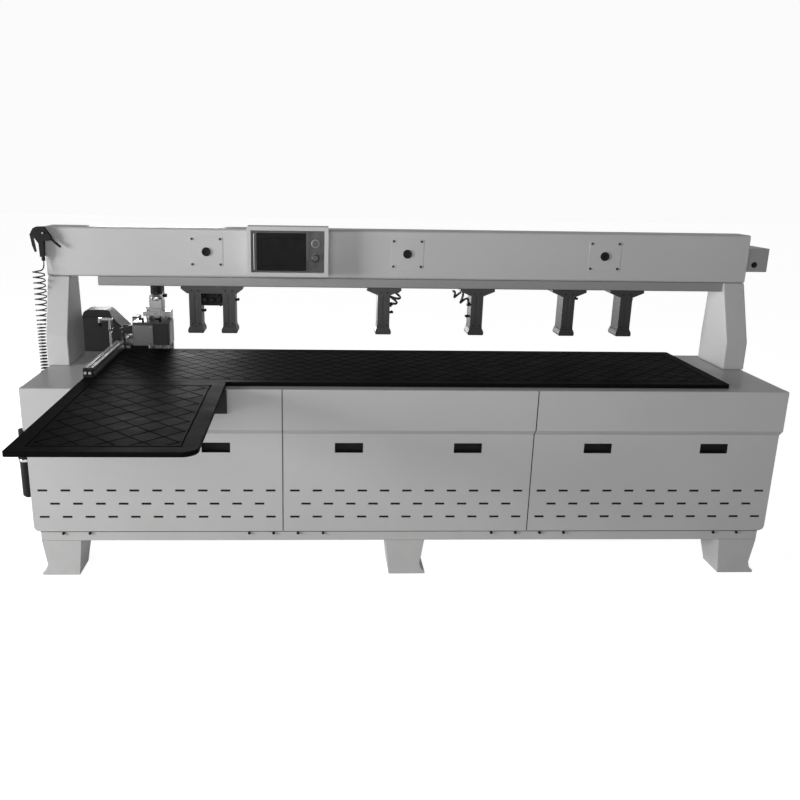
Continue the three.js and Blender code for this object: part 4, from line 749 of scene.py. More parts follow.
def modelCapScrew(radius, height):
    screw = addRod((0, 0, height / 2), radius, height, sides=fastener["sides"])
    edit(screw, "FACE", looking(toTop))
    bpy.ops.mesh.bevel(offset=radius * fastener["chamfer"], segments=1, affect="EDGES")
    leaveEdit()
    sink = (0, 0, -height * fastener["socketDepth"])
    extruded(screw, looking(toTop), sink, rim=radius * fastener["socketRim"])
    return screw


def modelHexBolt(radius, height):
    outer, inner = (radius * share for share in fastener["washer"])
    foot = height * fastener["washerHeight"]
    washer = addRing((0, 0, foot / 2), outer, inner, foot, sides=fastener["washerSides"])
    head = addRod((0, 0, (height + foot) / 2), radius, height - foot, sides=6)
    return joinPieces([bevelled(head, radius * fastener["hexEdge"], 1), washer])


capScrew, buttonScrew, smallScrew = (modelCapScrew(*fastener[kind]) for kind in ("cap", "button", "small"))
hexBolt = modelHexBolt(*fastener["hex"])


def fasten(model, places, name, slot="zinc_plate", body="machine_base"):
    finished(copies(model, places), name, slot, body)


# Cabinet: bolts of the front rail, grips in the hand slots, dark mats behind the vents as painted shade,
# corner fillers, dark strips as painted shadow in the seams and along the covers' lower edges
cabinet = {
    "railBolts": (-1.622, -1.503, -0.780, -0.669, -0.557, -0.442, 0.339, 0.452, 0.566, 0.679, 1.390, 1.501),
    "railFace": -0.0827, "boltHeight": 0.2115,
    "face": -0.085, "slots": (-1.458, -0.922, -0.329, 0.207, 0.800, 1.336), "slotHeight": 0.625,
    "slotSize": (0.1256, 0.0456), "gripDepth": 0.030, "gripLip": 0.001, "gripWall": 0.0022,
    "gripBack": 0.002, "gripEdge": (0.0007, 2),
    "mats": ((-1.672, -0.645), (-0.612, -0.0917), (-0.0305, 0.494), (0.516, 1.548)),
    "matHeights": (0.262, 0.450), "matDepths": (0.0025, 0.007), "matRim": 0.006,
    "rearMat": ((-1.500, 0.6305, 0.325), (-0.330, 0.6360, 0.387)),
    "fillerY": (-0.0817, -0.0570), "fillerZ": (0.692, 0.896), "fillerSides": (-1.7514, 1.6292),
    "fillerSheet": 0.0015, "fillerCut": 0.022, "fillerEdge": (0.0003, 1),
    "sealY": (-0.0848, -0.0829), "sealEdge": (0.00015, 1),  # on the front rail's face
    "seams": (-0.6256, 0.5034), "seamHalf": 0.0019, "seamTop": ((-0.1107, -0.1101), (0.7155, 0.897)),
    "seamStep": 0.025, "seamLength": 0.468,
    "bottomZ": (0.2172, 0.2198), "bottomSpans": ((-1.7245, -0.6275), (-0.6247, 0.5025), (0.5053, 1.6022)),
}


def addGrips():
    grips = []
    width, height = cabinet["slotSize"]
    face, depth, z = cabinet["face"], cabinet["gripDepth"], cabinet["slotHeight"]
    for x in cabinet["slots"]:
        low = (x - width / 2, face - cabinet["gripLip"], z - height / 2)
        block = addBlock(low, (x + width / 2, face + depth, z + height / 2))
        hollow = (0, depth - cabinet["gripBack"], 0)
        grip = extruded(block, looking(toFront), hollow, rim=cabinet["gripWall"])
        grips.append(bevelled(grip, *cabinet["gripEdge"]))
    finished(grips, "handGrips", "black_plastic")


# dark sheets behind the vent slots so that the vents show dark: painted shade of the cabinet's inside
def addMats():
    mats = []
    low, high = cabinet["matHeights"]
    front, rear = (cabinet["face"] + depth for depth in cabinet["matDepths"])
    spans = [((left, front, low), (right, rear, high)) for left, right in cabinet["mats"]]
    for corners in spans + [cabinet["rearMat"]]:
        shadeMat = addBlock(*corners)
        edit(shadeMat, "FACE", along(toFront))
        bpy.ops.mesh.inset(thickness=cabinet["matRim"])
        bpy.ops.mesh.subdivide(number_cuts=2)
        leaveEdit()
        mats.append(shadeMat)
    finished(mats, "ventMats", "black_plastic")


def addFillers():  # strips that close the corners where the front covers stand forward of the side covers
    fillers = []
    (front, rear), (low, high) = cabinet["fillerY"], cabinet["fillerZ"]
    for face in cabinet["fillerSides"]:
        inner = face - math.copysign(cabinet["fillerSheet"], face)
        filler = addBlock((min(face, inner), front, low), (max(face, inner), rear, high))
        rounded(filler, lambda centre, direction: abs(direction.x) > aligned and centre.z < low + near
                and centre.y < front + near, cabinet["fillerCut"])
        fillers.append(bevelled(filler, *cabinet["fillerEdge"]))
    finished(fillers, "cornerFillers", "cabinet_paint")


def addSeals():  # dark strips in the seams between the front covers and along their lower edges: painted shadow lines
    (front, rear), (low, high) = cabinet["sealY"], cabinet["bottomZ"]
    shadowStrips = [addBlock((left, front, low), (right, rear, high)) for left, right in cabinet["bottomSpans"]]
    (front, rear), (low, high) = cabinet["seamTop"]
    half, step = cabinet["seamHalf"], cabinet["seamStep"]
    for x in cabinet["seams"]:
        seam = addBlock((x - half, front, low), (x + half, rear, high))
        shadowStrips.append(extruded(seam, looking(toBottom), (0, step, -step), (0, 0, -cabinet["seamLength"])))
    finished(bevelled(joinPieces(shadowStrips), *cabinet["sealEdge"]), "coverSeals", "black_plastic")


addGrips()
addMats()
addFillers()
addSeals()
places = grid(cabinet["railBolts"], [cabinet["railFace"]], [cabinet["boltHeight"]], toFront)
fasten(capScrew, places, "railBolts", "black_steel")
print("cabinet detailed")


# Beam: cover plates with a cable gland and four screws each, and the bolt of the cable trunk
beamPlate = {
    "centres": (-1.0040, -0.0391, 0.9259), "height": 1.437, "face": 0.425, "size": (0.158, 0.144),
    "thickness": 0.0012, "corner": (0.006, 4), "edge": (0.0004, 1), "screws": (0.067, 0.060),
    "gland": (addRing, (0, -0.002, 0), 0.021, 0.0125, 0.012, "Y", 36, (0.002, 3)),
    "plugSink": 0.0026, "plug": (0.013, 0.004, "Y"), "plugRim": 0.004, "plugDent": 0.0025,
    "trunkBolt": (1.755, 0.573, 1.389),
}


def addBeamPlates():
    plates, rings, plugs, places = [], [], [], []
    half = [side / 2 for side in beamPlate["size"]]
    face, z = beamPlate["face"], beamPlate["height"]
    front = face - beamPlate["thickness"]
    spread, rise = beamPlate["screws"]
    for x in beamPlate["centres"]:
        plate = addBlock((x - half[0], front, z - half[1]), (x + half[0], face, z + half[1]))
        rounded(plate, along(toFront), *beamPlate["corner"])
        plates.append(bevelled(plate, *beamPlate["edge"]))
        rings += addParts((x, face, z), [beamPlate["gland"]])
        plug = addRod((x, face - beamPlate["plugSink"], z), *beamPlate["plug"])
        dent = (0, beamPlate["plugDent"], 0)
        plugs.append(extruded(plug, looking(toFront), dent, rim=beamPlate["plugRim"]))
        places += grid((x - spread, x + spread), [front], (z - rise, z + rise), toFront)
    finished(plates, "beamPlates", "cabinet_paint")
    finished(rings, "beamGlands", "black_plastic")
    finished(plugs, "beamPlugs", "black_plastic")
    fasten(buttonScrew, places, "beamScrews", "dark_anodised")
    fasten(hexBolt, [(beamPlate["trunkBolt"], toFront)], "trunkBolt", "black_steel")


# Fence: a black end block with two screws
fence = {
    "end": ((-1.5100, 0.010, 0.9188), (-1.4662, 0.0252, 0.9610)), "corner": (0.006, 4), "edge": (0.0008, 2),
    "screws": (-1.4981, -1.4781), "screwHeight": 0.940,
}


def addFenceEnd():
    front, z = fence["end"][0][1], fence["screwHeight"]
    block = addBlock(*fence["end"])
    rounded(block, lambda centre, direction: abs(direction.y) > aligned and centre.z > z, *fence["corner"])
    finished(bevelled(block, *fence["edge"]), "fenceEnd", "black_plastic")
    fasten(capScrew, grid(fence["screws"], [front], [z], toFront), "fenceScrews")


addBeamPlates()
addFenceEnd()
print("beam detailed")


# Control box: recessed plate, display glass, a bright strip and the rings of the two buttons
controlBox = {
    "recess": ((-0.7841, -0.4401), (1.352, 1.546)), "floor": 0.355, "plateGap": 0.0006, "sheet": 0.0008,
    "sheetEdge": (0.0003, 1),
    "screen": ((-0.7591, -0.5271), (1.360, 1.534)), "screenFace": 0.3427, "screenSink": 0.0019,
    "bezel": 0.024, "glassCorner": (0.003, 4),
    "strip": ((-0.7755, 1.364), (-0.7685, 1.530)), "stripReach": 0.005, "stripFoot": 0.002,
    "stripCorner": (0.0028, 5), "stripEdge": (0.0004, 2),
    "buttonX": -0.4831,
    "rings": (
        ("startRing", "grey_anodised",
         (addRing, (0, -0.0065, 1.487), 0.0178, 0.0146, 0.004, "Y", 36, (0.001, 3))),
        ("stopCollar", "dark_anodised",
         (addRing, (0, -0.0019, 1.421), 0.0192, 0.0150, 0.0022, "Y", 36, (0.0008, 2))),
    ),
}


def addControls():
    floor, gap, sheet = controlBox["floor"], controlBox["plateGap"], controlBox["sheet"]
    (left, right), (low, high) = controlBox["recess"]
    plate = addBlock((left + gap, floor - sheet, low + gap), (right - gap, floor, high - gap))
    finished(bevelled(plate, *controlBox["sheetEdge"]), "switchPlate", "dark_anodised")
    (left, right), (low, high) = controlBox["screen"]
    bezel = controlBox["bezel"]
    face = controlBox["screenFace"] + controlBox["screenSink"]
    glass = addBlock((left + bezel, face - sheet, low + bezel), (right - bezel, face, high - bezel))
    rounded(glass, along(toFront), *controlBox["glassCorner"])
    finished(bevelled(glass, *controlBox["sheetEdge"]), "displayGlass", "screen_plastic")
    (left, low), (right, high) = controlBox["strip"]
    strip = addBlock((left, floor - controlBox["stripReach"], low), (right, floor - sheet, high))
    foot = floor - controlBox["stripFoot"]
    rounded(strip, lambda centre, direction: centre.y < foot and abs(direction.z) > aligned,
            *controlBox["stripCorner"])
    finished(bevelled(strip, *controlBox["stripEdge"]), "lightStrip", "bare_aluminium")
    for name, slot, ring in controlBox["rings"]:
        finished(addParts((controlBox["buttonX"], floor, 0), [ring]), name, slot)


addControls()
print("controls detailed")


# Press cylinders: end plates, screws, push-in fittings and small coils of air tube. A fitting is its
# cylinder, side, depth and height; a tube is its cylinder, two ends, coil radius and turns.
presses = {
    "places": (-1.0651, -0.9021, -0.1461, 0.3148, 0.7709, 1.0589),
    "width": 0.060, "front": 0.430, "rear": 0.530, "bottom": 1.074, "hangerBottom": 1.2353,
    "plateHeight": 0.010, "plateProud": 0.0012, "plateBack": 0.0015, "plateRim": 0.001,
    "plateEdge": (0.001, 2), "screwSpread": 0.0165, "screwRise": 0.014, "screwSink": 0.0002,
    "fittingDepth": 0.018,
    "fittings": ((0, 1, 0, 1.225), (0, 1, 0.03, 1.196), (0, 1, 0.004, 1.150), (0, 1, 0.05, 1.222),
                 (1, -1, 0.004, 1.214), (1, -1, 0.03, 1.176), (1, 1, 0, 1.205), (2, 1, 0, 1.150),
                 (2, 1, 0.02, 1.186), (3, -1, 0, 1.192), (3, -1, 0.03, 1.130), (4, 1, 0, 1.226),
                 (5, 1, 0.03, 1.222)),
    "tubeRadius": 0.0058, "tubeRoundness": 2,
    "tubes": ((2, (0.036, 0.020, 1.176), (0.076, 0.012, 1.262), 0.024, 3),
              (3, (-0.036, 0, 1.200), (-0.122, 0.006, 1.256), 0.024, 2.5),
              (0, (0.042, 0.030, 1.200), (0.068, 0.020, 1.266), 0.015, 2.5),
              (1, (-0.042, 0.010, 1.218), (-0.062, 0.020, 1.266), 0.015, 2)),
    "valveBlock": ((-1.0335, 0.452, 1.174), (-0.9340, 0.506, 1.2345)),
    "valvePanel": ((0.007, 0), (0.0015, -0.0015)), "valveEdge": (0.006, 4),
    "coils": 3, "coil": (addRod, (0, -0.011, 0), 0.0105, 0.022, "Y", (0.002, 3)),
}
fittingParts = (  # hex base on its foot, round body, arm and collar
    (addRod, (0, 0, 0.003), 0.0068, 0.006, "Z", 6, (0.0005, 1)),
    (addRod, (0, 0, 0.012), 0.0058, 0.014, "Z", 16, (0.001, 2)),
    (addRod, (0.009, 0, 0.013), 0.0052, 0.018, "X", 16, (0.0008, 1)),
    (addRod, (0.019, 0, 0.013), 0.0062, 0.004, "X", 16, (0.0008, 1)),
)
fitting = joinPieces(addParts((0, 0, 0), fittingParts))


def addEndPlates():
    plates, places = [], []
    reach = presses["width"] / 2 + presses["plateProud"]
    spread, back, bottom = presses["screwSpread"], presses["plateBack"], presses["bottom"]
    heights = [foot + presses["screwRise"] for foot in (presses["hangerBottom"], bottom)]
    for x in presses["places"]:
        low = (x - reach, presses["front"] + back, bottom)
        high = (x + reach, presses["rear"] - back, bottom + presses["plateHeight"])
        plate = framed(addBlock(low, high), looking(toTop), (presses["plateRim"], 0))
        plates.append(bevelled(plate, *presses["plateEdge"]))
        places += grid((x - spread, x + spread), [presses["front"] + presses["screwSink"]], heights, toFront)
    finished(plates, "pressEndPlates", "dark_anodised")
    fasten(smallScrew, places, "pressScrews", "black_steel")


def addFittings():
    spots = []
    for cylinder, side, depth, height in presses["fittings"]:
        x = presses["places"][cylinder] + side * presses["width"] / 2
        spots.append(((x, presses["front"] + presses["fittingDepth"] + depth, height), (side, 0, 0)))
    fasten(fitting, spots, "pressFittings", "black_plastic")


def addValveBlock():  # between the two cylinders on the shared hanger, with its coils on the front
    (left, front, low), (right, _, high) = presses["valveBlock"]
    block = framed(addBlock(*presses["valveBlock"]), looking(toFront), *presses["valvePanel"])
    parts = [bevelled(block, *presses["valveEdge"])]
    for k in range(presses["coils"]):
        x = left + (right - left) * (k + 0.5) / presses["coils"]
        parts += addParts((x, front, (low + high) / 2), [presses["coil"]])
    finished(parts, "valveBlock", "black_plastic")


def addPressTubes():
    tubes = []
    y = presses["front"] + presses["fittingDepth"]
    for cylinder, start, end, radius, turns in presses["tubes"]:
        ends = [(presses["places"][cylinder] + place[0], y + place[1], place[2]) for place in (start, end)]
        points = helix(*ends, radius, turns)
        activate(addCurve("tube", points, presses["tubeRadius"], presses["tubeRoundness"]))
        bpy.ops.object.convert(target="MESH")
        tubes.append(bpy.context.object)
    finished(tubes, "pressTubes", "hose_rubber", angle=60)


addEndPlates()
addFittings()
addValveBlock()
addPressTubes()
print("presses detailed")


# Travelling head: folded cover over the drive motor. A fold is how far it runs and how far it drops.
hood = {
    "left": -1.7231, "right": -1.4971, "front": 0.795, "rear": 0.9758, "low": 0.8353, "high": 1.080,
    "shoulder": (0.020, 0.008), "slope": (0.096, 0.096), "brow": (0.060, 0.030), "rounding": (0.010, 5),
    "wall": 0.002, "screwX": (-1.700, -1.522), "screwZ": (0.850, 0.955),
}


def addHood():
    left, right, front, high = (hood[side] for side in ("left", "right", "front", "high"))
    cover = addBlock((left, front, hood["low"]), (right, hood["rear"], high))
    run, drop = hood["shoulder"]
    sliced(cover, (left + run, 0, high), (-drop, 0, run))
    run, drop = hood["slope"]
    sliced(cover, (right - run, 0, high), (drop, 0, run))
    run, drop = hood["brow"]
    sliced(cover, (0, front + run, high), (0, -drop, run))
    rounded(cover, lambda centre, direction: centre.z > hood["low"] + near, *hood["rounding"])
    edit(cover, "FACE", looking(toBottom))
    bpy.ops.mesh.delete(type="FACE")
    leaveEdit()
    activate(cover)
    wall = cover.modifiers.new("wall", "SOLIDIFY")
    wall.thickness = hood["wall"]
    wall.offset = -1
    finished(applyModifier(cover, wall), "motorHood", "black_steel", "carriage", ("motor_hood",))
    places = grid(hood["screwX"], [front], hood["screwZ"], toFront)
    fasten(smallScrew, places, "hoodScrews", "black_steel", "carriage")


# Motor of the height axis: square foot, bright dome, dark cap and two connectors
liftMotor = {
    "place": (-1.3161, 0.780), "base": 1.0933, "shoulder": 1.1553, "half": 0.035, "corner": (0.007, 5),
    "bodyGroove": (0.012, 0.015), "bodyGrooveDepth": 0.0015, "bodyEdge": (0.001, 2),
    "earEnd": 0.059, "earHigh": 1.1113, "earLap": 0.002,
    "plug": 0.018, "plugStart": 0.036, "plugEnd": 0.054, "plugLow": 1.1643, "plugEdge": (0.003, 3),
    "domeRadius": 0.040, "domeLow": 1.1493, "domeHigh": 1.1688, "domeTop": 1.1823, "domeSides": 48,
    "domeEdge": (0.005, 5, 20),
    "capRadius": 0.031, "capHigh": 1.2453, "capLap": 0.001, "capSides": 40, "capEdge": (0.002, 2, 40),
    "capGrooves": (0.016, 0.028, 0.040), "capGrooveWidth": 0.004, "capGrooveDepth": 0.002,
}


def addLiftMotor():
    (x, y), half, plug = liftMotor["place"], liftMotor["half"], liftMotor["plug"] / 2
    base, top = liftMotor["base"], liftMotor["domeTop"]
    body = addBlock((x - half, y - half, base), (x + half, y + half, liftMotor["shoulder"]))
    rounded(body, along(toTop), *liftMotor["corner"])
    low, high = liftMotor["bodyGroove"]
    groove(body, base + low, base + high, liftMotor["bodyGrooveDepth"])
    ear = addBlock((x - liftMotor["earEnd"], y - plug, base),
                   (x - half + liftMotor["earLap"], y + plug, liftMotor["earHigh"]))
    middle = (x, y, (liftMotor["domeLow"] + liftMotor["domeHigh"]) / 2)
    radius, height = liftMotor["domeRadius"], liftMotor["domeHigh"] - liftMotor["domeLow"]
    dome = addRod(middle, radius, height, sides=liftMotor["domeSides"])
    edit(dome, "FACE", looking(toTop))
    bpy.ops.mesh.inset(thickness=radius - liftMotor["capRadius"])
    bpy.ops.transform.translate(value=(0, 0, top - liftMotor["domeHigh"]))
    leaveEdit()
    low, high = top - liftMotor["capLap"], liftMotor["capHigh"]
    cap = addRod((x, y, (low + high) / 2), liftMotor["capRadius"], high - low, sides=liftMotor["capSides"])
    for rise in liftMotor["capGrooves"]:
        groove(cap, low + rise, low + rise + liftMotor["capGrooveWidth"], liftMotor["capGrooveDepth"])
    low = liftMotor["plugLow"]
    socket = addBlock((x + liftMotor["plugStart"], y - plug, low),
                      (x + liftMotor["plugEnd"], y + plug, low + 2 * plug))
    foot = [bevelled(body, *liftMotor["bodyEdge"]), bevelled(ear, *liftMotor["plugEdge"])]
    for made, name, slot in (
        (foot, "liftMotorBody", "bare_aluminium"),
        (bevelled(dome, *liftMotor["domeEdge"]), "liftMotorDome", "polished_metal"),
        (bevelled(cap, *liftMotor["capEdge"]), "liftMotorCap", "motor_black"),
        (bevelled(socket, *liftMotor["plugEdge"]), "liftMotorPlug", "black_plastic"),
    ):
        finished(made, name, slot, "carriage", ("lift_motor",))


addHood()
addLiftMotor()
print("head motors covered")


# Housing of the drill: grey body, black nozzle at its left, dark cover and fittings on top
drillHousing = {
    "split": (-1.4293, 0, 0), "front": 0.675,
    "cover": ((-1.325, 0.672, 0.928), (-1.2415, 0.675, 1.0395)), "coverPanel": ((0.006, 0), (0.001, -0.001)),
    "skirt": ((-1.4480, 0.690, 0.888), (-1.356, 0.698, 0.9262)), "skirtCorner": (0.006, 4),
    "nose": ((-1.4845, 0.7045, 0.9815), (-1.4305, 0.7084, 1.0285)), "skirtEdge": (0.0008, 2),
    "nosePanel": ((0.005, 0), (0.001, -0.001)), "panelEdge": (0.0006, 2),
    "screwX": (-1.418, -1.336), "screwZ": (0.937, 1.018), "fittings": (-1.380, -1.292),
    "rodFoot": (-1.350, 0.712, 1.045),
    "rod": ((addRod, (0, 0, 0.012), 0.0055, 0.024, (0.0008, 2)),
            (addRod, (0, 0, 0.003), 0.0085, 0.006, "Z", 6, (0.0006, 1))),
}


def splitNode(node, place, halves):  # one node as two pieces: the side that goes, name, finish and edge
    for way, name, slot, edge in halves:
        half = sliced(nodeCopy(node), place, way)
        finished(bevelled(half, *edge), name, slot, bodyOf[node], (node,))


def addDrillHousing():
    splitNode("lift_housing", drillHousing["split"], (
        (toRight, "drillNozzle", "motor_black", (0.0015, 2)),
        (toLeft, "drillHousing", "grey_anodised", (0.002, 3)),
    ))
    edge = drillHousing["panelEdge"]
    cover = framed(addBlock(*drillHousing["cover"]), looking(toFront), *drillHousing["coverPanel"])
    finished(bevelled(cover, *edge), "drillCover", "dark_anodised", "lift_housing")
    nose = framed(addBlock(*drillHousing["nose"]), looking(toFront), *drillHousing["nosePanel"])
    finished(bevelled(nose, *edge), "drillNose", "motor_black", "drill_unit")
    # a dark skirt below the drill housing that stands in for the shade there: painted shade
    skirt = addBlock(*drillHousing["skirt"])
    foot = drillHousing["skirt"][0][2] + near
    rounded(skirt, lambda centre, direction: abs(direction.y) > aligned and centre.z < foot,
            *drillHousing["skirtCorner"])
    finished(bevelled(skirt, *drillHousing["skirtEdge"]), "dustSkirt", "black_plastic", "lift_housing")
    rod = addParts(drillHousing["rodFoot"], drillHousing["rod"])
    finished(rod, "housingRod", "polished_metal", "lift_housing")
    places = grid(drillHousing["screwX"], [drillHousing["front"]], drillHousing["screwZ"], toFront)
    fasten(smallScrew, places, "housingScrews", "ground_steel", "lift_housing")
    _, y, top = drillHousing["rodFoot"]
    places = grid(drillHousing["fittings"], [y], [top], toTop)
    fasten(fitting, places, "housingFittings", "black_plastic", "lift_housing")


# Side stop: an elbow clamp on the bright pin, with a grooved collar that hangs from its arm
stopHook = {
    "place": (-1.5271, 0.620, 0),
    "parts": (
        (addRod, (0, 0, 1.04115), 0.0095, 0.0577, (0.003, 4)),
        (addRod, (-0.0189, 0, 1.070), 0.0085, 0.064, "X", (0.003, 4)),
        (addRod, (-0.0509, 0, 1.066), 0.010, 0.026, (0.003, 4)),
        (addRod, (0, 0, 1.0203), 0.0125, 0.010, "Z", 6, (0.001, 2)),
    ),
    "collar": ((-1.578, 0.620, 1.046), 0.0085, 0.020), "groove": (1.042, 1.045, 0.0015), "edge": (0.001, 2),
}


def addStopHook():
    finished(addParts(stopHook["place"], stopHook["parts"]), "stopHook", "polished_metal", "stop_pin")
    collar = addRod(*stopHook["collar"])
    groove(collar, *stopHook["groove"])
    finished(bevelled(collar, *stopHook["edge"]), "stopCollar2", "black_plastic", "stop_pin")


addDrillHousing()
addStopHook()
print("head detailed")


# Air unit on the left wall: gauge with its dial, ribbed knob and a bright ring round the bowl
airUnit = {
    "place": (-1.7944, 0.010),
    "knobLow": 0.6284, "knobHigh": 0.6783, "knobRadius": 0.0216, "ribs": 22, "ribInset": (0.0005, -0.0010),
    "knobEdge": (0.0008, 1, 40), "neckLow": 0.6203, "neckRadius": 0.014, "neckLap": 0.0004, "neckSides": 32,
    "bowlRing": (addRing, (-1.7944, 0.010, 0.536), 0.0313, 0.0272, 0.012, "Z", 40, (0.0015, 3)),
}
gauge = {  # depths are measured from its front, back is positive
    "place": (-1.7944, -0.0292, 0.582), "dialRadius": 0.0172,
    "ring": (addRing, (0, 0.0005, 0), 0.0205, 0.0172, 0.005, "Y", 40, (0.0009, 3)),
    "dial": (addRod, (0, 0.0004, 0), 0.0175, 0.0012, "Y", 40, (0.0002, 1)),
    "hub": (addRod, (0, -0.0011, 0), 0.0018, 0.0012, "Y", (0.0003, 1)),
    "marks": 11, "markTurn": 270, "markLengths": (0.0030, 0.0018), "markGap": 0.0010, "markHalf": 0.0003,
    "markDepths": (-0.0006, -0.0001), "markEdge": (0.0001, 1),
    "digitSize": 0.0052, "digitReach": 0.56, "digitDrop": 0.0018, "digitHeight": 0.0002,
    "needleTurn": 40, "needleHalf": 0.0005, "needleDepths": (-0.0014, -0.0008),
    "needleEnds": (-0.004, 0.0125), "needleEdge": (0.0002, 1),
}


def addHand(half, depths, ends, turn, edge):  # a thin bar on the dial, turned about its middle
    x, front, z = gauge["place"]
    low, high = zip((x - half, x + half), (front + depths[0], front + depths[1]), (z + ends[0], z + ends[1]))
    hand = addBlock(low, high)
    bpy.ops.object.mode_set(mode="EDIT")
    bpy.ops.mesh.select_all(action="SELECT")
    bpy.ops.transform.rotate(value=math.radians(turn), orient_axis="Y", center_override=(x, 0, z))
    leaveEdit()
    return bevelled(hand, *edge)


def addDigit(number, turn):
    x, front, z = gauge["place"]
    angle = math.radians(turn)
    reach = gauge["dialRadius"] * gauge["digitReach"]
    height = z + reach * math.cos(angle) - gauge["digitDrop"]
    place = (x + reach * math.sin(angle), front + gauge["markDepths"][1], height)
    bpy.ops.object.text_add(location=place, rotation=(math.pi / 2, 0, 0))
    data = bpy.context.object.data
    data.body = str(number)
    data.align_x = "CENTER"
    data.size = gauge["digitSize"]
    data.extrude = gauge["digitHeight"]
    bpy.ops.object.convert(target="MESH")
    return applyPlace(bpy.context.object)


def addGauge():
    for name, slot in (("ring", "polished_metal"), ("dial", "cabinet_paint")):
        finished(addParts(gauge["place"], [gauge[name]]), "gauge" + name.capitalize(), slot)
    marks = []
    top = gauge["dialRadius"] - gauge["markGap"]
    for k in range(gauge["marks"]):
        turn = -gauge["markTurn"] / 2 + gauge["markTurn"] * k / (gauge["marks"] - 1)
        ends = (top - gauge["markLengths"][k % 2], top)
        marks.append(addHand(gauge["markHalf"], gauge["markDepths"], ends, turn, gauge["markEdge"]))
        if k % 2 == 0:
            marks.append(addDigit(k, turn))
    marks.append(addHand(gauge["needleHalf"], gauge["needleDepths"], gauge["needleEnds"],
                         gauge["needleTurn"], gauge["needleEdge"]))
    marks += addParts(gauge["place"], [gauge["hub"]])
    finished(marks, "gaugeMarks", "black_plastic")


def addKnob():
    (x, y), low, high = airUnit["place"], airUnit["knobLow"], airUnit["knobHigh"]
    count = 2 * airUnit["ribs"]
    grip = addRod((x, y, (low + high) / 2), airUnit["knobRadius"], high - low, sides=count)

    def everyOther(centre, normal):
        turn = math.atan2(normal.y, normal.x) / (math.tau / count)
        return abs(normal.z) < 0.1 and round(turn - 0.5) % 2 == 0

    edit(grip, "FACE", everyOther)
    width, depth = airUnit["ribInset"]
    bpy.ops.mesh.inset(thickness=width, depth=depth, use_individual=True)
    leaveEdit()
    foot = airUnit["neckLow"]
    length = low - foot + airUnit["neckLap"]
    neck = addRod((x, y, (foot + low) / 2), airUnit["neckRadius"], length, sides=airUnit["neckSides"])
    parts = [bevelled(grip, *airUnit["knobEdge"]), neck]
    finished(parts, "regulatorKnob", "black_plastic", "regulator_knob", ("regulator_knob",))


addGauge()
addKnob()
finished(addParts((0, 0, 0), [airUnit["bowlRing"]]), "bowlRing", "polished_metal")
print("air unit detailed")


# Rear of the machine: girder with its rails, bracket bolts, cover screws, door locks and a tray
rear = {
    "railFoot": (0, 0, 0.7803), "boltFace": 0.6523, "boltX": (-0.129, 0.007, -1.7086, 1.5864),
    "boltHeights": (0.590, 0.680, 0.762),
    "face": 0.6401, "screwHeights": (0.236, 0.530),
    "coverScrews": (-1.735, -1.32, -0.90, -0.49, -0.078, -0.044, 0.36, 0.78, 1.20, 1.613),
    "left": -1.7533, "right": 1.6311, "sideScrews": (-0.030, 0.300, 0.615), "sideHeights": (0.236, 0.878),
    "tray": ((-0.029, -0.0226, 0.2694), (0.790, 0.5776, 0.2722)), "trayRim": 0.020, "trayDent": 0.0008,
    "trayEdge": (0.0003, 1),
}
doorLock = {
    "x": 0.668, "heights": (0.356, 0.532), "door": 0.656,
    "parts": (
        (addRing, (0, 0.0012, 0), 0.014, 0.0095, 0.0032, "Y", (0.0008, 2)),
        (addRod, (0, 0.0006, 0), 0.0098, 0.0028, "Y", 32, (0.0004, 1)),
        (addBar, (0, 0.00245, 0), (0.015, 0.0019, 0.0024), (0.0004, 2)),
    ),
}


def addGirder():
    splitNode("axis_girder", rear["railFoot"], (
        (toTop, "axisGirder", "cabinet_paint", (0.0015, 2)),
        (toBottom, "guideRails", "ground_steel", (0.0012, 2)),
    ))


def addRearScrews():
    places = grid(rear["boltX"], [rear["boltFace"]], rear["boltHeights"], toRear)
    fasten(hexBolt, places, "bracketBolts")
    places = grid(rear["coverScrews"], [rear["face"]], rear["screwHeights"], toRear)
    fasten(buttonScrew, places, "rearScrews")
    places = [place for side, way in (("left", toLeft), ("right", toRight))
              for place in grid([rear[side]], rear["sideScrews"], rear["sideHeights"], way)]
    fasten(buttonScrew, places, "sideScrews")


def addDoorLocks():  # quarter-turn locks on the free side of the electrical door
    locks = []
    for z in doorLock["heights"]:
        locks += addParts((doorLock["x"], doorLock["door"], z), doorLock["parts"])
    finished(locks, "doorLocks", "black_plastic", "electrical_door")


def addCabinetTray():  # bottom sheet of the electrical compartment, held between the base rails
    dent = (0, 0, -rear["trayDent"])
    tray = extruded(addBlock(*rear["tray"]), looking(toTop), dent, rim=rear["trayRim"])
    finished(bevelled(tray, *rear["trayEdge"]), "cabinetTray", "zinc_plate")


addGirder()
addRearScrews()
addDoorLocks()
addCabinetTray()
for model in (capScrew, buttonScrew, smallScrew, hexBolt, fitting):
    bpy.data.objects.remove(model)
print("rear detailed")


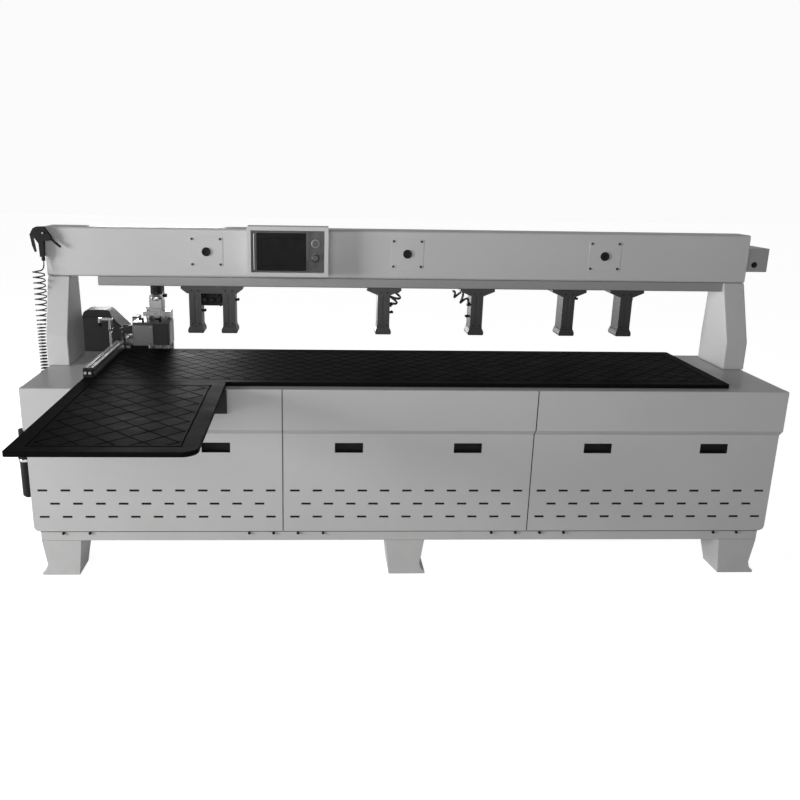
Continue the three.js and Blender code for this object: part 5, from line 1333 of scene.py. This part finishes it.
# Floor, world and lamps
studio = {
    "floorSize": 60,
    "floorTone": 0.62,
    "floorPaler": 1.02,
    "floorClouds": (0.8, 3),
    "floorRoughness": 0.9,
    "floorShine": 0.1,
    "floorGlow": 0.90,  # added where the camera sees the floor
    "reflectionShare": 0.4,  # of what the camera sees, how much shows in reflections
    "worldStrength": 0.10,
    "backdrop": 0.962,  # as bright as the floor far away
    "key": {"place": (-7.4, -2.7, 1.7), "target": (-0.2, 0.1, 0.9), "size": 2.4, "power": 505},
    "fill": {"place": (-0.9, -5.0, 2.0), "target": (-0.1, 0.2, 0.9), "size": 2.4, "power": 70},
    "back": {"place": (-1.95, 4.4, 1.2), "target": (0.2, 0.4, 1.0), "size": 1.3, "power": 70},
}


def addLamp(name):
    values = studio[name]
    bpy.ops.object.light_add(type="AREA", location=values["place"])
    lamp = bpy.context.object
    lamp.name = name + "Lamp"
    lamp.data.size = values["size"]
    lamp.data.energy = values["power"]
    lamp.visible_camera = False
    aim = Vector(values["target"]) - Vector(values["place"])
    lamp.rotation_mode = "QUATERNION"
    lamp.rotation_quaternion = aim.to_track_quat("-Z", "Y")


def seen(finish):  # 1 where the camera looks straight at it, less in reflections
    mirrored = finish.node("LightPath", {}, {}, "Is Glossy Ray") * studio["reflectionShare"]
    return finish.node("LightPath", {}, {}, "Is Camera Ray") + mirrored


def addFloor():
    bpy.ops.mesh.primitive_plane_add(size=studio["floorSize"], location=(0, 0, 0))
    floor = bpy.context.object
    floor.name = "floor"
    finish = newFinish("floorPaint")
    tone = studio["floorTone"]
    floor.data.materials.append(finish.coat({
        "Base Color": finish.blend(finish.noise(*studio["floorClouds"]), grey(tone),
                                   grey(tone * studio["floorPaler"])),
        "Roughness": studio["floorRoughness"],
        "Specular IOR Level": studio["floorShine"],
        "Emission Color": finish.blend(seen(finish), grey(0), grey(studio["floorGlow"])),
        "Emission Strength": 1.0,
    }))


def addWorld():
    world = Finish(bpy.data.worlds.new("studio"))
    strength = world.band(seen(world), 0, 1, studio["worldStrength"], studio["backdrop"])
    world.node("OutputWorld", {}, {
        "Surface": world.node("Background", {}, {"Color": grey(1), "Strength": strength})})
    bpy.context.scene.world = world.owner
    bpy.context.scene.view_settings.view_transform = "Standard"


addFloor()
addWorld()
for lampName in ("key", "fill", "back"):
    addLamp(lampName)
print("studio lit")
